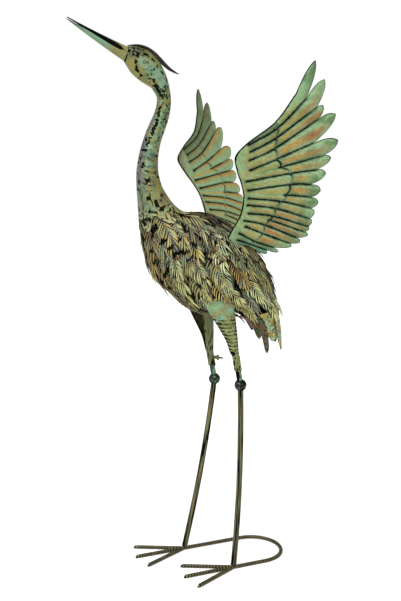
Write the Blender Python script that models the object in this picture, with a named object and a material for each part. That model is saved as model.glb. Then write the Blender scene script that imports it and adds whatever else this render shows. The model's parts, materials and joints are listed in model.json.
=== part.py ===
# Garden crane in patinated sheet metal and rod, wings raised.
# The bird faces -X with its left side at -Y, and stands on the ground at z = 0.
# Sizes are in millimetres, and meshes are written in metres.
import math

import bmesh
import bpy
import numpy as np

MM = 0.001

# Stock that the bird is made of
LEG_TUBE = 12.0          # outer diameter of leg tubes and upper rods
TOE_ROD = 8.0            # diameter of the toe rods
LOOP_ROD = 8.0           # diameter of the ground loop
KNEE_BALL = 25.0         # diameter of the knee balls
WING_SHEET = 1.6         # thickness of the pressed wings
THIGH_SHEET = 1.4        # thickness of the folded thighs
TAIL_SHEET = 1.2         # thickness of each tail feather
SKIRT_SHEET = 1.6        # thickness of the neck's skirt over the breast

# Clearances between pieces that touch
GAP = 0.3
SKIN_GAP = 0.8           # between the body shell and the sheets laid on it
TAIL_GAP = 1.0           # between one layer of tail feathers and the next
TRIM_GAP = 0.5           # between the body and the wings and thighs that are cut to it
CREST_GAP = 0.4          # between the head and the crest that is cut to it
FACE_GAP = 0.45          # between the flat face and the beak
NECK_CLOSING = 1.5       # the neck's closed underside lies this far above the body's top

# Stance
STANCE_WIDTH = 123.8     # across, from foot to foot
STRIDE = 62.2            # the left foot stands this far behind the right one
TOE_LENGTH = 110.0
TOE_SPREAD = 25.8        # degrees from the middle toe to a side toe
TOE_TIP_TAPER = 0.6      # share of the rod's width left at a toe's tip
LOOP_LENGTH = 168.5      # from midway between the feet to the loop's rear
LEG_BOW = 6.0            # rearward bow of each leg tube

# Knee, sleeve and clamp screw
KNEE_X = 43.5
KNEE_SPREAD = 116.8
KNEE_HEIGHT = 384.0
KNEE_SKEW = (3.2, 5.7)   # the left knee is this far back and up, the right one forward and down
ROD_LEAN = -0.18         # forward lean of the upper rod, mm per mm of height
SLEEVE_LENGTH = 30.0
ROD_REACH = 20.0         # the upper rod's length inside the sleeve
ROD_SHOWN = 30.0         # from the ball's centre to the sleeve's lower edge
SCREW_PLACE = 0.64       # share of the sleeve's length from its lower edge to the screw
SCREW_SHANK = 5.0
SCREW_WING = 12.0        # width across the thumb plate
SCREW_STUB = 3.6         # diameter of the thread past the plate
SCREW_LENGTH = 23.0
SCREW_TURN = 57.0        # degrees inward from straight back

# The free forms are posed at this height, and scale with it
POSED_HEIGHT = 1095.0
FIGURE_HEIGHT = 1095.0
POSE = FIGURE_HEIGHT / POSED_HEIGHT

# Body relief
FEATHER_RELIEF = 6.5     # depth of the step below a feather's tip
FEATHERS_AROUND = 8
FEATHER_ROWS = 9
FEATHER_OVERLAP = 1.26   # a feather's length, in rows

# Wing relief
WING_FEATHERS = 17
WING_RISE = 3.0          # height of a feather's middle over its edges
COVERT_RISE = 1.8        # the short row lies this far above the long one

# Body sections from neck to tail: belly x, z, back x, z, half width
BODY_SECTIONS = [
    (-144, 741, -84, 757, 33), (-143, 715, -58, 739.5, 42), (-140, 683, -20, 738, 52),
    (-132, 653, 15, 728, 60), (-119, 618, 48, 708, 65), (-98, 592, 78, 684, 68),
    (-67, 563, 104, 656, 68), (-28, 539, 127, 620, 66), (16, 533, 141, 584, 60),
    (55, 528, 148, 549, 52), (82, 517, 152, 523, 44), (102, 490, 157, 499, 36),
    (112, 465, 161, 475, 29), (119, 438, 164, 447, 22), (124, 412, 166, 420, 16)]
BODY_END = 10.0          # the body shell closes at this section, the tail goes on

# Tail feathers on one side: angle from the ridge, half angle and layer, then the body
# section of the root, of the left side's tip and of the right side's tip
TAIL_FEATHERS = [(28, 16, 1, 8.9, 12.6, 12.6), (61, 17, 2, 9.1, 12.4, 12.3),
                 (95, 16, 1, 9.2, 12.0, 12.2), (126, 14, 0, 9.0, 12.9, 11.3),
                 (155, 12, 1, 8.8, 10.7, 10.6)]
TAIL_CENTRE = (0, 12, 2, 8.9, 13.2, 13.2)

# Head sections from the beak back: underside x, z, top x, z, half width
HEAD_SECTIONS = [
    (-172, 1020, -165.5, 1050, 9), (-159, 1002, -147, 1051, 14), (-144, 990, -126, 1045, 17),
    (-130, 982, -107, 1030, 17.5), (-119, 976, -93.4, 1009, 16.5), (-111, 966, -84.7, 986, 15)]

# Neck from head to breast: centre x, z and radius
NECK_CENTRES = [
    (-93.7, 958.2, 13.8), (-94.6, 940.8, 14), (-99.6, 921.7, 15), (-107.7, 902.5, 16.2),
    (-116.2, 882.1, 16.8), (-123.2, 858.4, 18), (-126.7, 839.2, 19.4), (-128.5, 820.1, 21),
    (-127.4, 800.9, 22.9), (-124, 780.5, 25.5)]
SKIRT_TONGUES = 6
SKIRT_SHORT = 0.5        # body section where the notches between tongues end
SKIRT_LONG = 1.5         # body section where the tongues end

# Beak: where each mandible ends, how deep and how wide it is on the way
BEAK_TIP_UPPER = (-280, 1095.0)
BEAK_TIP_LOWER = (-281.8, 1090.6)
BEAK_GAPE_Z = 1038.5
BEAK_CHIN_Z = 1021.5
BEAK_CROWN_Z = 1049.5
BEAK_SIDE = 8.6          # half width at the face
BEAK_SAG = 1.4           # both ridges hang this far below a straight line
BEAK_LIP = 1.0           # depth of each mandible at its tip

# Crest along its middle: x, z, half height, half width
CREST_SECTIONS = [
    (-166, 1051.5, 0.8, 1.5), (-146, 1053, 2, 4), (-129, 1049, 3.2, 6), (-113, 1039, 4.4, 6.5),
    (-98, 1026, 4.2, 5.5), (-84, 1014.5, 3.2, 4.2), (-72, 1008, 2.1, 2.8), (-61.6, 1003.9, 0.6, 0.6)]

# Thigh above its sleeve: centre x, centre |y|, share of the way from the sleeve to the top,
# half depth, half width, wrapped degrees
THIGH_SECTIONS = [
    (30, 56.5, 0.06, 9.6, 8.6, 335), (24.5, 54.5, 0.24, 14, 11, 310),
    (11, 51.5, 0.51, 24.5, 15, 280), (-1.5, 49, 0.74, 32, 17.5, 268), (-16, 46, 1, 36, 19, 262)]
THIGH_TOP = 604.0        # height of the thigh's upper end, inside the body's outline
THIGH_STRIPS = 13        # flats round the thigh and its sleeve
SLEEVE_WRAP = 348        # degrees of sheet round the sleeve

# Wing seen from the side, x and z. The front edge runs from the first feather to the root.
WING_EDGE = [(13, 870), (1, 857), (-7, 845.5), (-7, 834), (4, 812), (15, 794), (24.5, 775),
             (29, 758), (30, 736), (28, 722), (23, 706), (17.4, 688.5)]
WING_ARM = [(13, 870), (12, 860), (15, 849), (18, 834), (24, 816), (28, 797), (33, 779),
            (38, 762), (42, 745), (44, 730), (44, 715), (42, 703), (39, 692), (37, 674)]
WING_COVERTS = [(50, 904), (56, 890), (58, 874), (60, 855), (68, 838), (80, 822), (98, 808),
                (104, 793), (102, 770), (99, 757), (96, 744), (92, 733), (88, 722), (80, 706),
                (70, 690), (60, 671)]
WING_TIPS = [(89.8, 1003), (110.6, 972.6), (119.5, 930), (142, 915.3), (157.2, 870.7),
             (155, 840.5), (154.9, 812.4), (155.7, 780.4), (158.5, 756.4), (158.6, 735.6),
             (159.7, 718.3), (159.2, 706.2), (160.7, 693.8), (151.9, 678.9), (140.2, 670.1),
             (121.3, 658), (102, 655)]
WING_NOTCHES = [(72, 950), (91.2, 943), (111, 927), (119.9, 908.9), (122.9, 867.3),
                (141.6, 844), (139.1, 818.8), (136.8, 792.1), (142.7, 768.5), (149.2, 747.3),
                (153.5, 726.6), (155, 711.4), (152, 700.4), (144, 688.1), (132.5, 677.9),
                (110.2, 668.1), (97.7, 663), (82, 660)]

# The wing's distance from the mid-plane, a quadric in x and z about its wrist height
WING_LEVEL = 850.0
WING_SPREAD = (149.0, 0.13, 0.55, 0.0019, 0.0002, -0.00024)
RIGHT_WING_TILT = (0.02, 0.035)  # the right wing is welded on a little forward and higher


def smooth(rows, t):
    """Point at t along a smooth curve through the rows, one unit from row to row."""
    rows = np.asarray(rows, float)
    last = len(rows) - 1
    i = int(min(max(math.floor(t), 0), last - 1))
    f = t - i
    a, b = rows[i], rows[i + 1]
    before = rows[i - 1] if i > 0 else 2 * a - b
    after = rows[i + 2] if i + 2 <= last else 2 * b - a
    return a + 0.5 * f * ((b - before) + f * (2 * before - 5 * a + 4 * b - after
                                              + f * (3 * (a - b) + after - before)))


def resample(rows, count):
    """The curve through the rows, as this many points."""
    return [smooth(rows, t) for t in np.linspace(0, len(rows) - 1, count)]


def unit(vector):
    return np.asarray(vector, float) / np.linalg.norm(vector)


# Materials

def linear(channel):
    return channel / 12.92 if channel <= 0.04045 else ((channel + 0.055) / 1.055) ** 2.4


def paint(name, hexCode, metallic, roughness):
    material = bpy.data.materials.get(name) or bpy.data.materials.new(name)
    material.use_nodes = True
    shader = material.node_tree.nodes["Principled BSDF"]
    rgb = [linear(int(hexCode[i:i + 2], 16) / 255) for i in (0, 2, 4)]
    shader.inputs["Base Color"].default_value = (*rgb, 1)
    shader.inputs["Metallic"].default_value = metallic
    shader.inputs["Roughness"].default_value = roughness
    return material


# Mesh helpers

def addObject(name, verts, faces, material, edgeAngle=40):
    """A named object from points in millimetres, smooth but for its sharp edges."""
    mesh = bpy.data.meshes.new(name)
    mesh.from_pydata([tuple(float(c) * MM for c in v) for v in verts], [], faces)
    work = bmesh.new()
    work.from_mesh(mesh)
    bmesh.ops.remove_doubles(work, verts=work.verts, dist=0.00001)
    bmesh.ops.recalc_face_normals(work, faces=work.faces)
    work.to_mesh(mesh)
    work.free()
    mesh.materials.append(material)
    mesh.shade_smooth()
    mesh.set_sharp_from_angle(angle=math.radians(edgeAngle))
    piece = bpy.data.objects.new(name, mesh)
    bpy.context.collection.objects.link(piece)
    return piece


def closedLoft(rings, startPoint, endPoint):
    """Skin over equal rings, with a fan to a point at each end."""
    rings = [np.asarray(ring, float) for ring in rings]
    sides = len(rings[0])
    verts = [tuple(p) for ring in rings for p in ring]
    faces = []
    for j in range(len(rings) - 1):
        for k in range(sides):
            a, b = j * sides + k, j * sides + (k + 1) % sides
            faces.append((a, b, b + sides, a + sides))
    verts += [tuple(startPoint), tuple(endPoint)]
    first, last = len(verts) - 2, len(verts) - 1
    base = (len(rings) - 1) * sides
    for k in range(sides):
        faces.append((first, (k + 1) % sides, k))
        faces.append((last, base + k, base + (k + 1) % sides))
    return verts, faces


def closedSheet(outer, inner):
    """A sheet between two equal grids of points, closed along its rim."""
    rows, columns = len(outer), len(outer[0])
    verts = [tuple(p) for grid in (outer, inner) for row in grid for p in row]
    half = rows * columns
    faces = []
    for j in range(rows - 1):
        for k in range(columns - 1):
            a = j * columns + k
            quad = (a, a + 1, a + columns + 1, a + columns)
            faces.append(quad)
            faces.append(tuple(half + v for v in reversed(quad)))
    rim = [(j, 0) for j in range(rows)] + [(rows - 1, k) for k in range(1, columns)]
    rim += [(j, columns - 1) for j in range(rows - 2, -1, -1)]
    rim += [(0, k) for k in range(columns - 2, 0, -1)]
    rim = [j * columns + k for j, k in rim]
    for a, b in zip(rim, rim[1:] + rim[:1]):
        faces.append((a, b, half + b, half + a))
    return verts, faces


def rodRing(centre, direction, radius, sides):
    """A ring whose flats, not corners, touch the radius. A level rod has a flat underside."""
    direction = unit(direction)
    lift = (0, 0, 1) if abs(direction[2]) < 0.7 else (1, 0, 0)
    across = unit(np.cross(direction, lift))
    upward = np.cross(across, direction)
    corner = radius / math.cos(math.pi / sides)
    turns = [(k + 0.5) * 2 * math.pi / sides for k in range(sides)]
    return np.array([centre + corner * (math.cos(t) * across + math.sin(t) * upward) for t in turns])


def slideToPlane(ring, direction, planePoint, planeNormal):
    """Moves a ring's points along the rod until they lie on a plane."""
    direction, planeNormal = unit(direction), np.asarray(planeNormal, float)
    travel = (np.asarray(planePoint) - ring) @ planeNormal / (direction @ planeNormal)
    return ring + travel[:, None] * direction


def cupRings(centre, direction, rodRadius, sides):
    """The hollow end of a rod that stands on the knee ball, from its middle outward."""
    direction = unit(direction)
    ballRadius = KNEE_BALL / 2 + GAP
    corner = rodRadius / math.cos(math.pi / sides)
    rings = []
    for share in (0.5, 1.0):
        reach = math.sqrt(ballRadius ** 2 - (corner * share) ** 2)
        rings.append(rodRing(centre + direction * reach, direction, rodRadius * share, sides))
    return rings, centre + direction * ballRadius


def pathDirections(path):
    ends = np.vstack([2 * path[0] - path[1], path, 2 * path[-1] - path[-2]])
    return ends[2:] - ends[:-2]


def cutBy(piece, cutter):
    cut = piece.modifiers.new("Trim", "BOOLEAN")
    cut.operation = "DIFFERENCE"
    cut.solver = "EXACT"
    cut.object = cutter


def asCutter(piece):
    piece.hide_render = True
    piece.display_type = "WIRE"
    return piece


# Body

def bodySection(s):
    """Centre, half axis toward the back and half width at section s."""
    ax, az, bx, bz, width = smooth(BODY_SECTIONS, s) * POSE
    centre = np.array([(ax + bx) / 2, 0, (az + bz) / 2])
    return centre, np.array([(bx - ax) / 2, 0, (bz - az) / 2]), width


def bodyPoint(s, angle, out=0.0):
    """Point of the body's outer skin. Angle 0 is the back, a quarter turn the left side."""
    def place(u, a):
        centre, axis, width = bodySection(u)
        return centre + axis * math.cos(a) + np.array([0, -width * math.sin(a), 0])
    point = place(s, angle)
    if out == 0:
        return point
    step = 0.02
    along = place(s + step, angle) - place(s - step, angle)
    around = place(s, angle + step) - place(s, angle - step)
    return point + unit(np.cross(around, along)) * out


def featherHeight(s, angle):
    """Height share of the overlapping feathers, 1 at a feather's tip and 0 at its root."""
    row = s / BODY_END * FEATHER_ROWS
    for start in (math.floor(row) - 1, math.floor(row)):
        turn = angle / (2 * math.pi) * FEATHERS_AROUND - 0.5 * (start % 2)
        across = 2 * (turn - round(turn))
        length = FEATHER_OVERLAP * (1 - 0.42 * abs(across) ** 2.2)
        if 0 <= row - start <= length:
            return (row - start) / FEATHER_OVERLAP
    return 0.0


def buildBody(material):
    around, along = FEATHERS_AROUND * 4, FEATHER_ROWS * 4
    rings = []
    for j in range(along + 1):
        s = BODY_END * j / along
        ring = []
        for k in range(around):
            angle = 2 * math.pi * k / around
            shown = featherHeight(s + 0.001, angle) if j < along else 0.5
            ring.append(bodyPoint(s, angle, -FEATHER_RELIEF * (1 - shown) * POSE))
        rings.append(ring)
    verts, faces = closedLoft(rings, bodySection(0)[0], bodySection(BODY_END)[0])
    return addObject("body", verts, faces, material, 20)


def buildBodyCutter(material):
    """The body's skin without relief and a little larger, to trim what meets it."""
    around, last = FEATHERS_AROUND * 4, len(BODY_SECTIONS) - 1
    stations = np.linspace(0, last, last * 3 + 1)
    rings = [[bodyPoint(s, 2 * math.pi * k / around, TRIM_GAP) for k in range(around)]
             for s in stations]
    verts, faces = closedLoft(rings, bodySection(0)[0], bodySection(last)[0])
    return asCutter(addObject("body_clearance", verts, faces, material))


# Tail

def buildTailFeather(name, side, spec, material):
    degrees, halfDegrees, layer, first = spec[:4]
    last = spec[4] if side < 0 else spec[5]
    lift = SKIN_GAP + layer * (TAIL_SHEET + TAIL_GAP)
    middle, half = math.radians(degrees), math.radians(halfDegrees)
    grids = []
    for out in (lift + TAIL_SHEET, lift):
        grid = []
        for share in (0, 0.25, 0.5, 0.72, 0.88, 0.97, 1):
            width = half * max(0.16, math.sqrt(max(0, 1 - share ** 6)))
            s = first + (last - first) * share
            grid.append([bodyPoint(s, -side * (middle + width * v), out) for v in (-1, -0.35, 0.35, 1)])
        grids.append(grid)
    verts, faces = closedSheet(*grids)
    return addObject(name, verts, faces, material)


# Neck and head

def neckSections():
    """Centre, half axis toward the back and half width, from the face down to the breast."""
    sections = []
    for ax, az, bx, bz, width in HEAD_SECTIONS:
        sections.append((np.array([(ax + bx) / 2, 0, (az + bz) / 2]),
                         np.array([(bx - ax) / 2, 0, (bz - az) / 2]), width))
    centres = np.array(NECK_CENTRES)
    for row, run in zip(centres, pathDirections(centres[:, :2])):
        down = unit(run)
        sections.append((np.array([row[0], 0, row[1]]),
                         row[2] * np.array([-down[1], 0, down[0]]), row[2]))
    return [(c * POSE, a * POSE, w * POSE) for c, a, w in sections]


def neckRing(section, around, grow=0.0):
    centre, axis, width = section
    axis = axis + unit(axis) * grow
    turns = [2 * math.pi * k / around for k in range(around)]
    return [centre + axis * math.cos(t) + np.array([0, -(width + grow) * math.sin(t), 0])
            for t in turns]


def skirtEnd(angle):
    """Body section where the skirt ends, longest in the middle of each tongue."""
    wave = 0.5 - 0.5 * math.cos(angle * SKIRT_TONGUES)
    return SKIRT_SHORT + (SKIRT_LONG - SKIRT_SHORT) * wave


def buildNeck(material):
    around = SKIRT_TONGUES * 4
    turns = [2 * math.pi * k / around for k in range(around)]
    sections = neckSections()
    rings = [neckRing(section, around) for section in sections]
    for share, out in ((0, 1), (0.5, 1), (1, 1), (1, 0), (0.5, 0), (0, 0)):
        lift = SKIN_GAP + SKIRT_SHEET * out
        rings.append([bodyPoint(skirtEnd(t) * share, t, lift) for t in turns])
    face = sections[0][0]
    ceiling = bodySection(0)[0] + np.array([0, 0, NECK_CLOSING])
    verts, faces = closedLoft(rings, face, ceiling)
    return addObject("neck_and_head", verts, faces, material)


def buildHeadCutter(material):
    sections = neckSections()[:len(HEAD_SECTIONS)]
    rings = [neckRing(section, SKIRT_TONGUES * 4, CREST_GAP) for section in sections]
    verts, faces = closedLoft(rings, sections[0][0], sections[-1][0])
    return asCutter(addObject("head_clearance", verts, faces, material))


# Beak and crest

def faceX(z):
    """The flat face of the head that the beak stands against."""
    underX, underZ, topX, topZ = HEAD_SECTIONS[0][:4]
    return underX + (topX - underX) * (z - underZ) / (topZ - underZ)


def buildMandible(name, ridgeZ, tip, isUpper, material):
    """One folded sheet half of the beak, from the face to its tip."""
    turned = 1 if isUpper else -1
    gapeZ = BEAK_GAPE_Z + turned * GAP
    rings = []
    for share in (0, 0.2, 0.45, 0.7, 0.88, 1):
        mouth = np.array([faceX(gapeZ) - FACE_GAP, gapeZ]) * (1 - share)
        mouth = mouth + np.array([tip[0], tip[1] - turned * BEAK_LIP]) * share
        ridge = np.array([faceX(ridgeZ) - FACE_GAP, ridgeZ]) * (1 - share)
        ridge = ridge + np.array(tip) * share
        ridge = ridge - np.array([0, BEAK_SAG * 4 * share * (1 - share)])
        width = BEAK_SIDE * (1 - share) ** 0.85 + 0.8 * share
        ring = []
        for v, h in ((-1, 0), (-0.86, 0.5), (0, 1), (0.86, 0.5), (1, 0)):
            x, z = mouth + (ridge - mouth) * h
            ring.append(np.array([x, v * width, z]) * POSE)
        rings.append(ring)
    verts, faces = closedLoft(rings, np.mean(rings[0], axis=0), np.mean(rings[-1], axis=0))
    return addObject(name, verts, faces, material, 25)


def buildCrest(headCutter, material):
    rows = resample(CREST_SECTIONS, 12)
    path = np.array([[row[0], 0, row[1]] for row in rows])
    rings = []
    for row, centre, run in zip(rows, path, pathDirections(path)):
        along = unit(run)
        upward = np.cross(along, (0, 1, 0)) * -1
        turns = [2 * math.pi * k / 8 for k in range(8)]
        rings.append([(centre + upward * row[2] * math.cos(t)
                       + np.array([0, row[3] * math.sin(t), 0])) * POSE for t in turns])
    verts, faces = closedLoft(rings, path[0] * POSE, path[-1] * POSE)
    crest = addObject("crest", verts, faces, material)
    cutBy(crest, headCutter)
    return crest


# Wings

def wingPoint(point, lift, side):
    x, z = point
    rise = z - WING_LEVEL
    c = WING_SPREAD
    y = c[0] + c[1] * x + c[2] * rise + c[3] * x * x + c[4] * x * rise + c[5] * rise * rise
    if side > 0:
        x, z = x - RIGHT_WING_TILT[0] * y, z + RIGHT_WING_TILT[1] * y
    return np.array([x, side * (y + lift), z]) * POSE


def grooveLine(root, covert, notch):
    """The line between two feathers: 0 at the arm, 1 at the short row's end, 2 at the notch."""
    return lambda t: smooth([root, covert, notch], t)


def tipSide(notch, axis, tip, share):
    """Edge of a feather past the notch, straight at first and then rounded in to the tip."""
    bend = notch + axis * 0.8 * max(0, (tip - notch) @ axis) / (axis @ axis)
    return notch * (1 - share) ** 2 + 2 * bend * share * (1 - share) + tip * share ** 2


def featherStrips(index, grooves, tips):
    """Cross rows of one feather, each with its left edge, middle and right edge, and lifts."""
    left, right = grooves[index], grooves[index + 1]
    tip = np.array(tips[index])
    rows = []
    for edgeT, middleT, edgeLift, middleLift in (
            (0, 0, COVERT_RISE, COVERT_RISE + 0.3 * WING_RISE),
            (0.5, 0.5, COVERT_RISE, COVERT_RISE + WING_RISE),
            (0.9, 1.0, COVERT_RISE, COVERT_RISE + WING_RISE), (0.94, 1.05, 0, 0.3 * WING_RISE),
            (1.5, 1.5, 0, 0.8 * WING_RISE), (2, 2, 0, 0.8 * WING_RISE)):
        middle = (left(middleT) + right(middleT)) / 2
        rows.append([(left(edgeT), edgeLift), (middle, middleLift), (right(edgeT), edgeLift)])
    base = (left(2) + right(2)) / 2
    axis = tip - base
    for share, middleLift in ((0.55, 0.7 * WING_RISE), (0.85, 0.4 * WING_RISE)):
        ends = [tipSide(line(2), axis, tip, share) for line in (left, right)]
        rows.append([(ends[0], 0.1 * WING_RISE), (sum(ends) / 2, middleLift), (ends[1], 0.1 * WING_RISE)])
    return rows, tip


def buildWing(name, side, bodyCutter, material):
    """One pressed sheet: the arm plate, the short feathers and the long ones."""
    count = WING_FEATHERS + 1
    roots = resample(WING_ARM, count)
    coverts = resample(WING_COVERTS, count)
    notches = [np.array(p, float) for p in WING_NOTCHES]
    grooves = [grooveLine(r, c, n) for r, c, n in zip(roots, coverts, notches)]
    verts, faces = [], []

    def addPoint(spot, lift):
        verts.append(wingPoint(spot, lift, side))
        return len(verts) - 1

    for index in range(WING_FEATHERS):
        rows, tip = featherStrips(index, grooves, WING_TIPS)
        lines = [[addPoint(spot, lift) for spot, lift in row] for row in rows]
        for upper, lower in zip(lines, lines[1:]):
            for k in range(2):
                faces.append((upper[k], upper[k + 1], lower[k + 1], lower[k]))
        end = addPoint(tip, 0.1 * WING_RISE)
        faces += [(lines[-1][k], lines[-1][k + 1], end) for k in range(2)]

    # The arm plate reaches from the front edge to the feathers' roots
    front = resample(WING_EDGE, count)
    for index in range(WING_FEATHERS):
        middle = (roots[index] + roots[index + 1]) / 2
        a, b = addPoint(front[index], 0), addPoint(front[index + 1], 0)
        c, d = addPoint(roots[index + 1], COVERT_RISE), addPoint(roots[index], COVERT_RISE)
        m = addPoint(middle, COVERT_RISE + 0.3 * WING_RISE)
        faces += [(a, b, m), (b, c, m), (m, d, a)]

    wing = addObject(name, verts, faces, material)
    facing = sum(face.normal.y * face.area for face in wing.data.polygons)
    if facing * side < 0:
        wing.data.flip_normals()
    press = wing.modifiers.new("Sheet", "SOLIDIFY")
    press.thickness = WING_SHEET * MM
    press.offset = -1
    cutBy(wing, bodyCutter)
    return wing


# Legs

def kneeSkew(side):
    return -side * np.array([KNEE_SKEW[0], 0, KNEE_SKEW[1]])


def knee(side):
    return (np.array([KNEE_X, side * KNEE_SPREAD / 2, KNEE_HEIGHT]) + kneeSkew(side)) * POSE


def foot(side):
    return np.array([-side * STRIDE / 2, side * STANCE_WIDTH / 2, 0])


def rodAxis(side, height):
    """Point on the upper rod's axis, this far above the knee."""
    return knee(side) + np.array([ROD_LEAN, 0, 1]) * height


def sleeveRadius():
    """Outer radius of the sleeve round the upper rod."""
    return (LEG_TUBE / 2 + GAP) / math.cos(math.radians(SLEEVE_WRAP / THIGH_STRIPS / 2)) + THIGH_SHEET


def buildThigh(name, side, bodyCutter, material):
    """One tapered sheet, wrapped from the front edge round the outside and back inside."""
    outerR, sleeveTop = sleeveRadius(), rodAxis(side, ROD_SHOWN + SLEEVE_LENGTH)
    stations = [(rodAxis(side, ROD_SHOWN), outerR, outerR, SLEEVE_WRAP),
                (sleeveTop, outerR, outerR, SLEEVE_WRAP)]
    for x, y, share, depth, width, wrap in THIGH_SECTIONS:
        centre = (np.array([x, side * y, 0]) + kneeSkew(side) * (1 - share)) * POSE
        centre[2] = sleeveTop[2] + (THIGH_TOP * POSE - sleeveTop[2]) * share
        stations.append((centre, depth * POSE, width * POSE, wrap))
    grids = []
    for inset in (0, THIGH_SHEET):
        grid = []
        for centre, depth, width, wrap in stations:
            turns = [math.radians(wrap * k / THIGH_STRIPS) for k in range(THIGH_STRIPS + 1)]
            grid.append([centre + np.array([-(depth - inset) * math.cos(t),
                                            side * (width - inset) * math.sin(t), 0]) for t in turns])
        grids.append(grid)
    verts, faces = closedSheet(*grids)
    thigh = addObject(name, verts, faces, material)
    cutBy(thigh, bodyCutter)
    return thigh


def buildScrew(name, side, material):
    """Thumb screw in the sleeve's inner rear side: shank, flat plate and bare thread."""
    turn = math.radians(SCREW_TURN)
    direction = np.array([math.cos(turn), -side * math.sin(turn), 0])
    across = np.array([-direction[1], direction[0], 0])
    middle = rodAxis(side, ROD_SHOWN + SLEEVE_LENGTH * SCREW_PLACE)
    start = middle + direction * (sleeveRadius() + GAP)
    shank, wing, stub = SCREW_SHANK / 2, SCREW_WING / 2, SCREW_STUB / 2
    profile = [(0, shank, shank), (0.1, shank, shank), (0.13, 1.5 * shank, 1.5 * shank),
               (0.32, 1.5 * shank, 1.5 * shank), (0.36, 0.55 * shank, wing),
               (0.55, 0.5 * shank, wing), (0.6, stub, stub), (1, stub, stub)]
    rings = []
    for share, flat, tall in profile:
        centre = start + direction * SCREW_LENGTH * share
        turns = [2 * math.pi * (k + 0.5) / 8 for k in range(8)]
        rings.append([centre + across * flat * math.cos(t) + np.array([0, 0, tall * math.sin(t)])
                      for t in turns])
    verts, faces = closedLoft(rings, start, start + direction * SCREW_LENGTH)
    return addObject(name, verts, faces, material)


def buildUpperRod(name, side, material):
    top = rodAxis(side, ROD_SHOWN + ROD_REACH)
    direction = top - knee(side)
    cup, cupCentre = cupRings(knee(side), direction, LEG_TUBE / 2, 12)
    rings = cup + [rodRing(top, direction, LEG_TUBE / 2, 12)]
    verts, faces = closedLoft(rings, cupCentre, top)
    return addObject(name, verts, faces, material)


def buildBall(name, side, material):
    radius, levels = KNEE_BALL / 2, 8
    rings = []
    for j in range(1, levels):
        lean = math.pi * j / levels
        turns = [2 * math.pi * k / 14 for k in range(14)]
        rings.append([knee(side) + radius * np.array([math.sin(lean) * math.cos(t),
                                                      math.sin(lean) * math.sin(t),
                                                      math.cos(lean)]) for t in turns])
    pole = np.array([0, 0, radius])
    verts, faces = closedLoft(rings, knee(side) + pole, knee(side) - pole)
    return addObject(name, verts, faces, material, 60)


def buildLegTube(name, side, material):
    """Bowed tube from the knee ball down onto the toes."""
    top, bottom = knee(side), foot(side)
    shares = np.linspace(0, 1, 7)
    bow = np.array([LEG_BOW * 4, 0, 0])
    path = np.array([top + (bottom - top) * t + bow * t * (1 - t) for t in shares])
    runs = pathDirections(path)
    cup, cupCentre = cupRings(top, path[1] - top, LEG_TUBE / 2, 10)
    rings = cup + [rodRing(p, d, LEG_TUBE / 2, 10) for p, d in zip(path[1:-1], runs[1:-1])]
    landing = np.array([0, 0, TOE_ROD + GAP])
    foundation = slideToPlane(rodRing(bottom, runs[-1], LEG_TUBE / 2, 10), runs[-1], landing, (0, 0, 1))
    rings.append(foundation)
    verts, faces = closedLoft(rings, cupCentre, np.mean(foundation, axis=0))
    return addObject(name, verts, faces, material)


# Feet and loop

def buildToe(name, side, degrees, material):
    """A ribbed rod on the ground. A side toe is mitred against the middle one."""
    turn = math.radians(degrees)
    direction = np.array([-math.cos(turn), math.sin(turn), 0])
    radius = TOE_ROD / 2
    start = foot(side) + np.array([0, 0, radius])
    tip = start + direction * TOE_LENGTH
    heel = start - direction * LEG_TUBE / 2
    ring = rodRing(heel, direction, radius, 8)
    if degrees:
        wall = start + np.array([0, math.copysign(radius + GAP, turn), 0])
        ring = slideToPlane(rodRing(start, direction, radius, 8), direction, wall, (0, 1, 0))
    tapered = rodRing(tip, direction, radius * TOE_TIP_TAPER, 8)
    tapered[:, 2] -= radius * (1 - TOE_TIP_TAPER)
    rings = [ring, rodRing(tip - direction * radius * 1.5, direction, radius, 8), tapered]
    verts, faces = closedLoft(rings, np.mean(ring, axis=0), np.mean(tapered, axis=0))
    return addObject(name, verts, faces, material)


def buildLoop(material):
    """The U that props the bird from behind, level on the ground."""
    radius, bend = LOOP_ROD / 2, STANCE_WIDTH / 2
    rear = LOOP_LENGTH - bend
    behind = LEG_TUBE / 2 + GAP
    left, right = foot(-1), foot(1)
    path = [(left[0] + behind, left[1])]
    for share in np.linspace(-0.5, 0.5, 17):
        turn = math.pi * share
        path.append((rear + bend * math.cos(turn), bend * math.sin(turn)))
    path.append((right[0] + behind, right[1]))
    path = np.array([(x, y, radius) for x, y in path])
    runs = pathDirections(path)
    runs[1], runs[-2] = (1, 0, 0), (-1, 0, 0)
    rings = [rodRing(p, d, radius, 8) for p, d in zip(path, runs)]
    verts, faces = closedLoft(rings, path[0], path[-1])
    return addObject("stand_loop", verts, faces, material)


# The whole bird

def standOnOrigin(pieces):
    """Carries every piece on one empty, moved so that the bird stands over the origin."""
    carrier = bpy.data.objects.new("crane", None)
    bpy.context.collection.objects.link(carrier)
    bpy.context.view_layer.update()
    graph = bpy.context.evaluated_depsgraph_get()
    spots = []
    for piece in pieces:
        piece.parent = carrier
        if not piece.hide_render:
            spots += [tuple(corner) for corner in piece.evaluated_get(graph).bound_box]
    spots = np.array(spots)
    middle = (spots.min(axis=0) + spots.max(axis=0)) / 2
    carrier.location = (-middle[0], -middle[1], -spots[:, 2].min())


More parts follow.
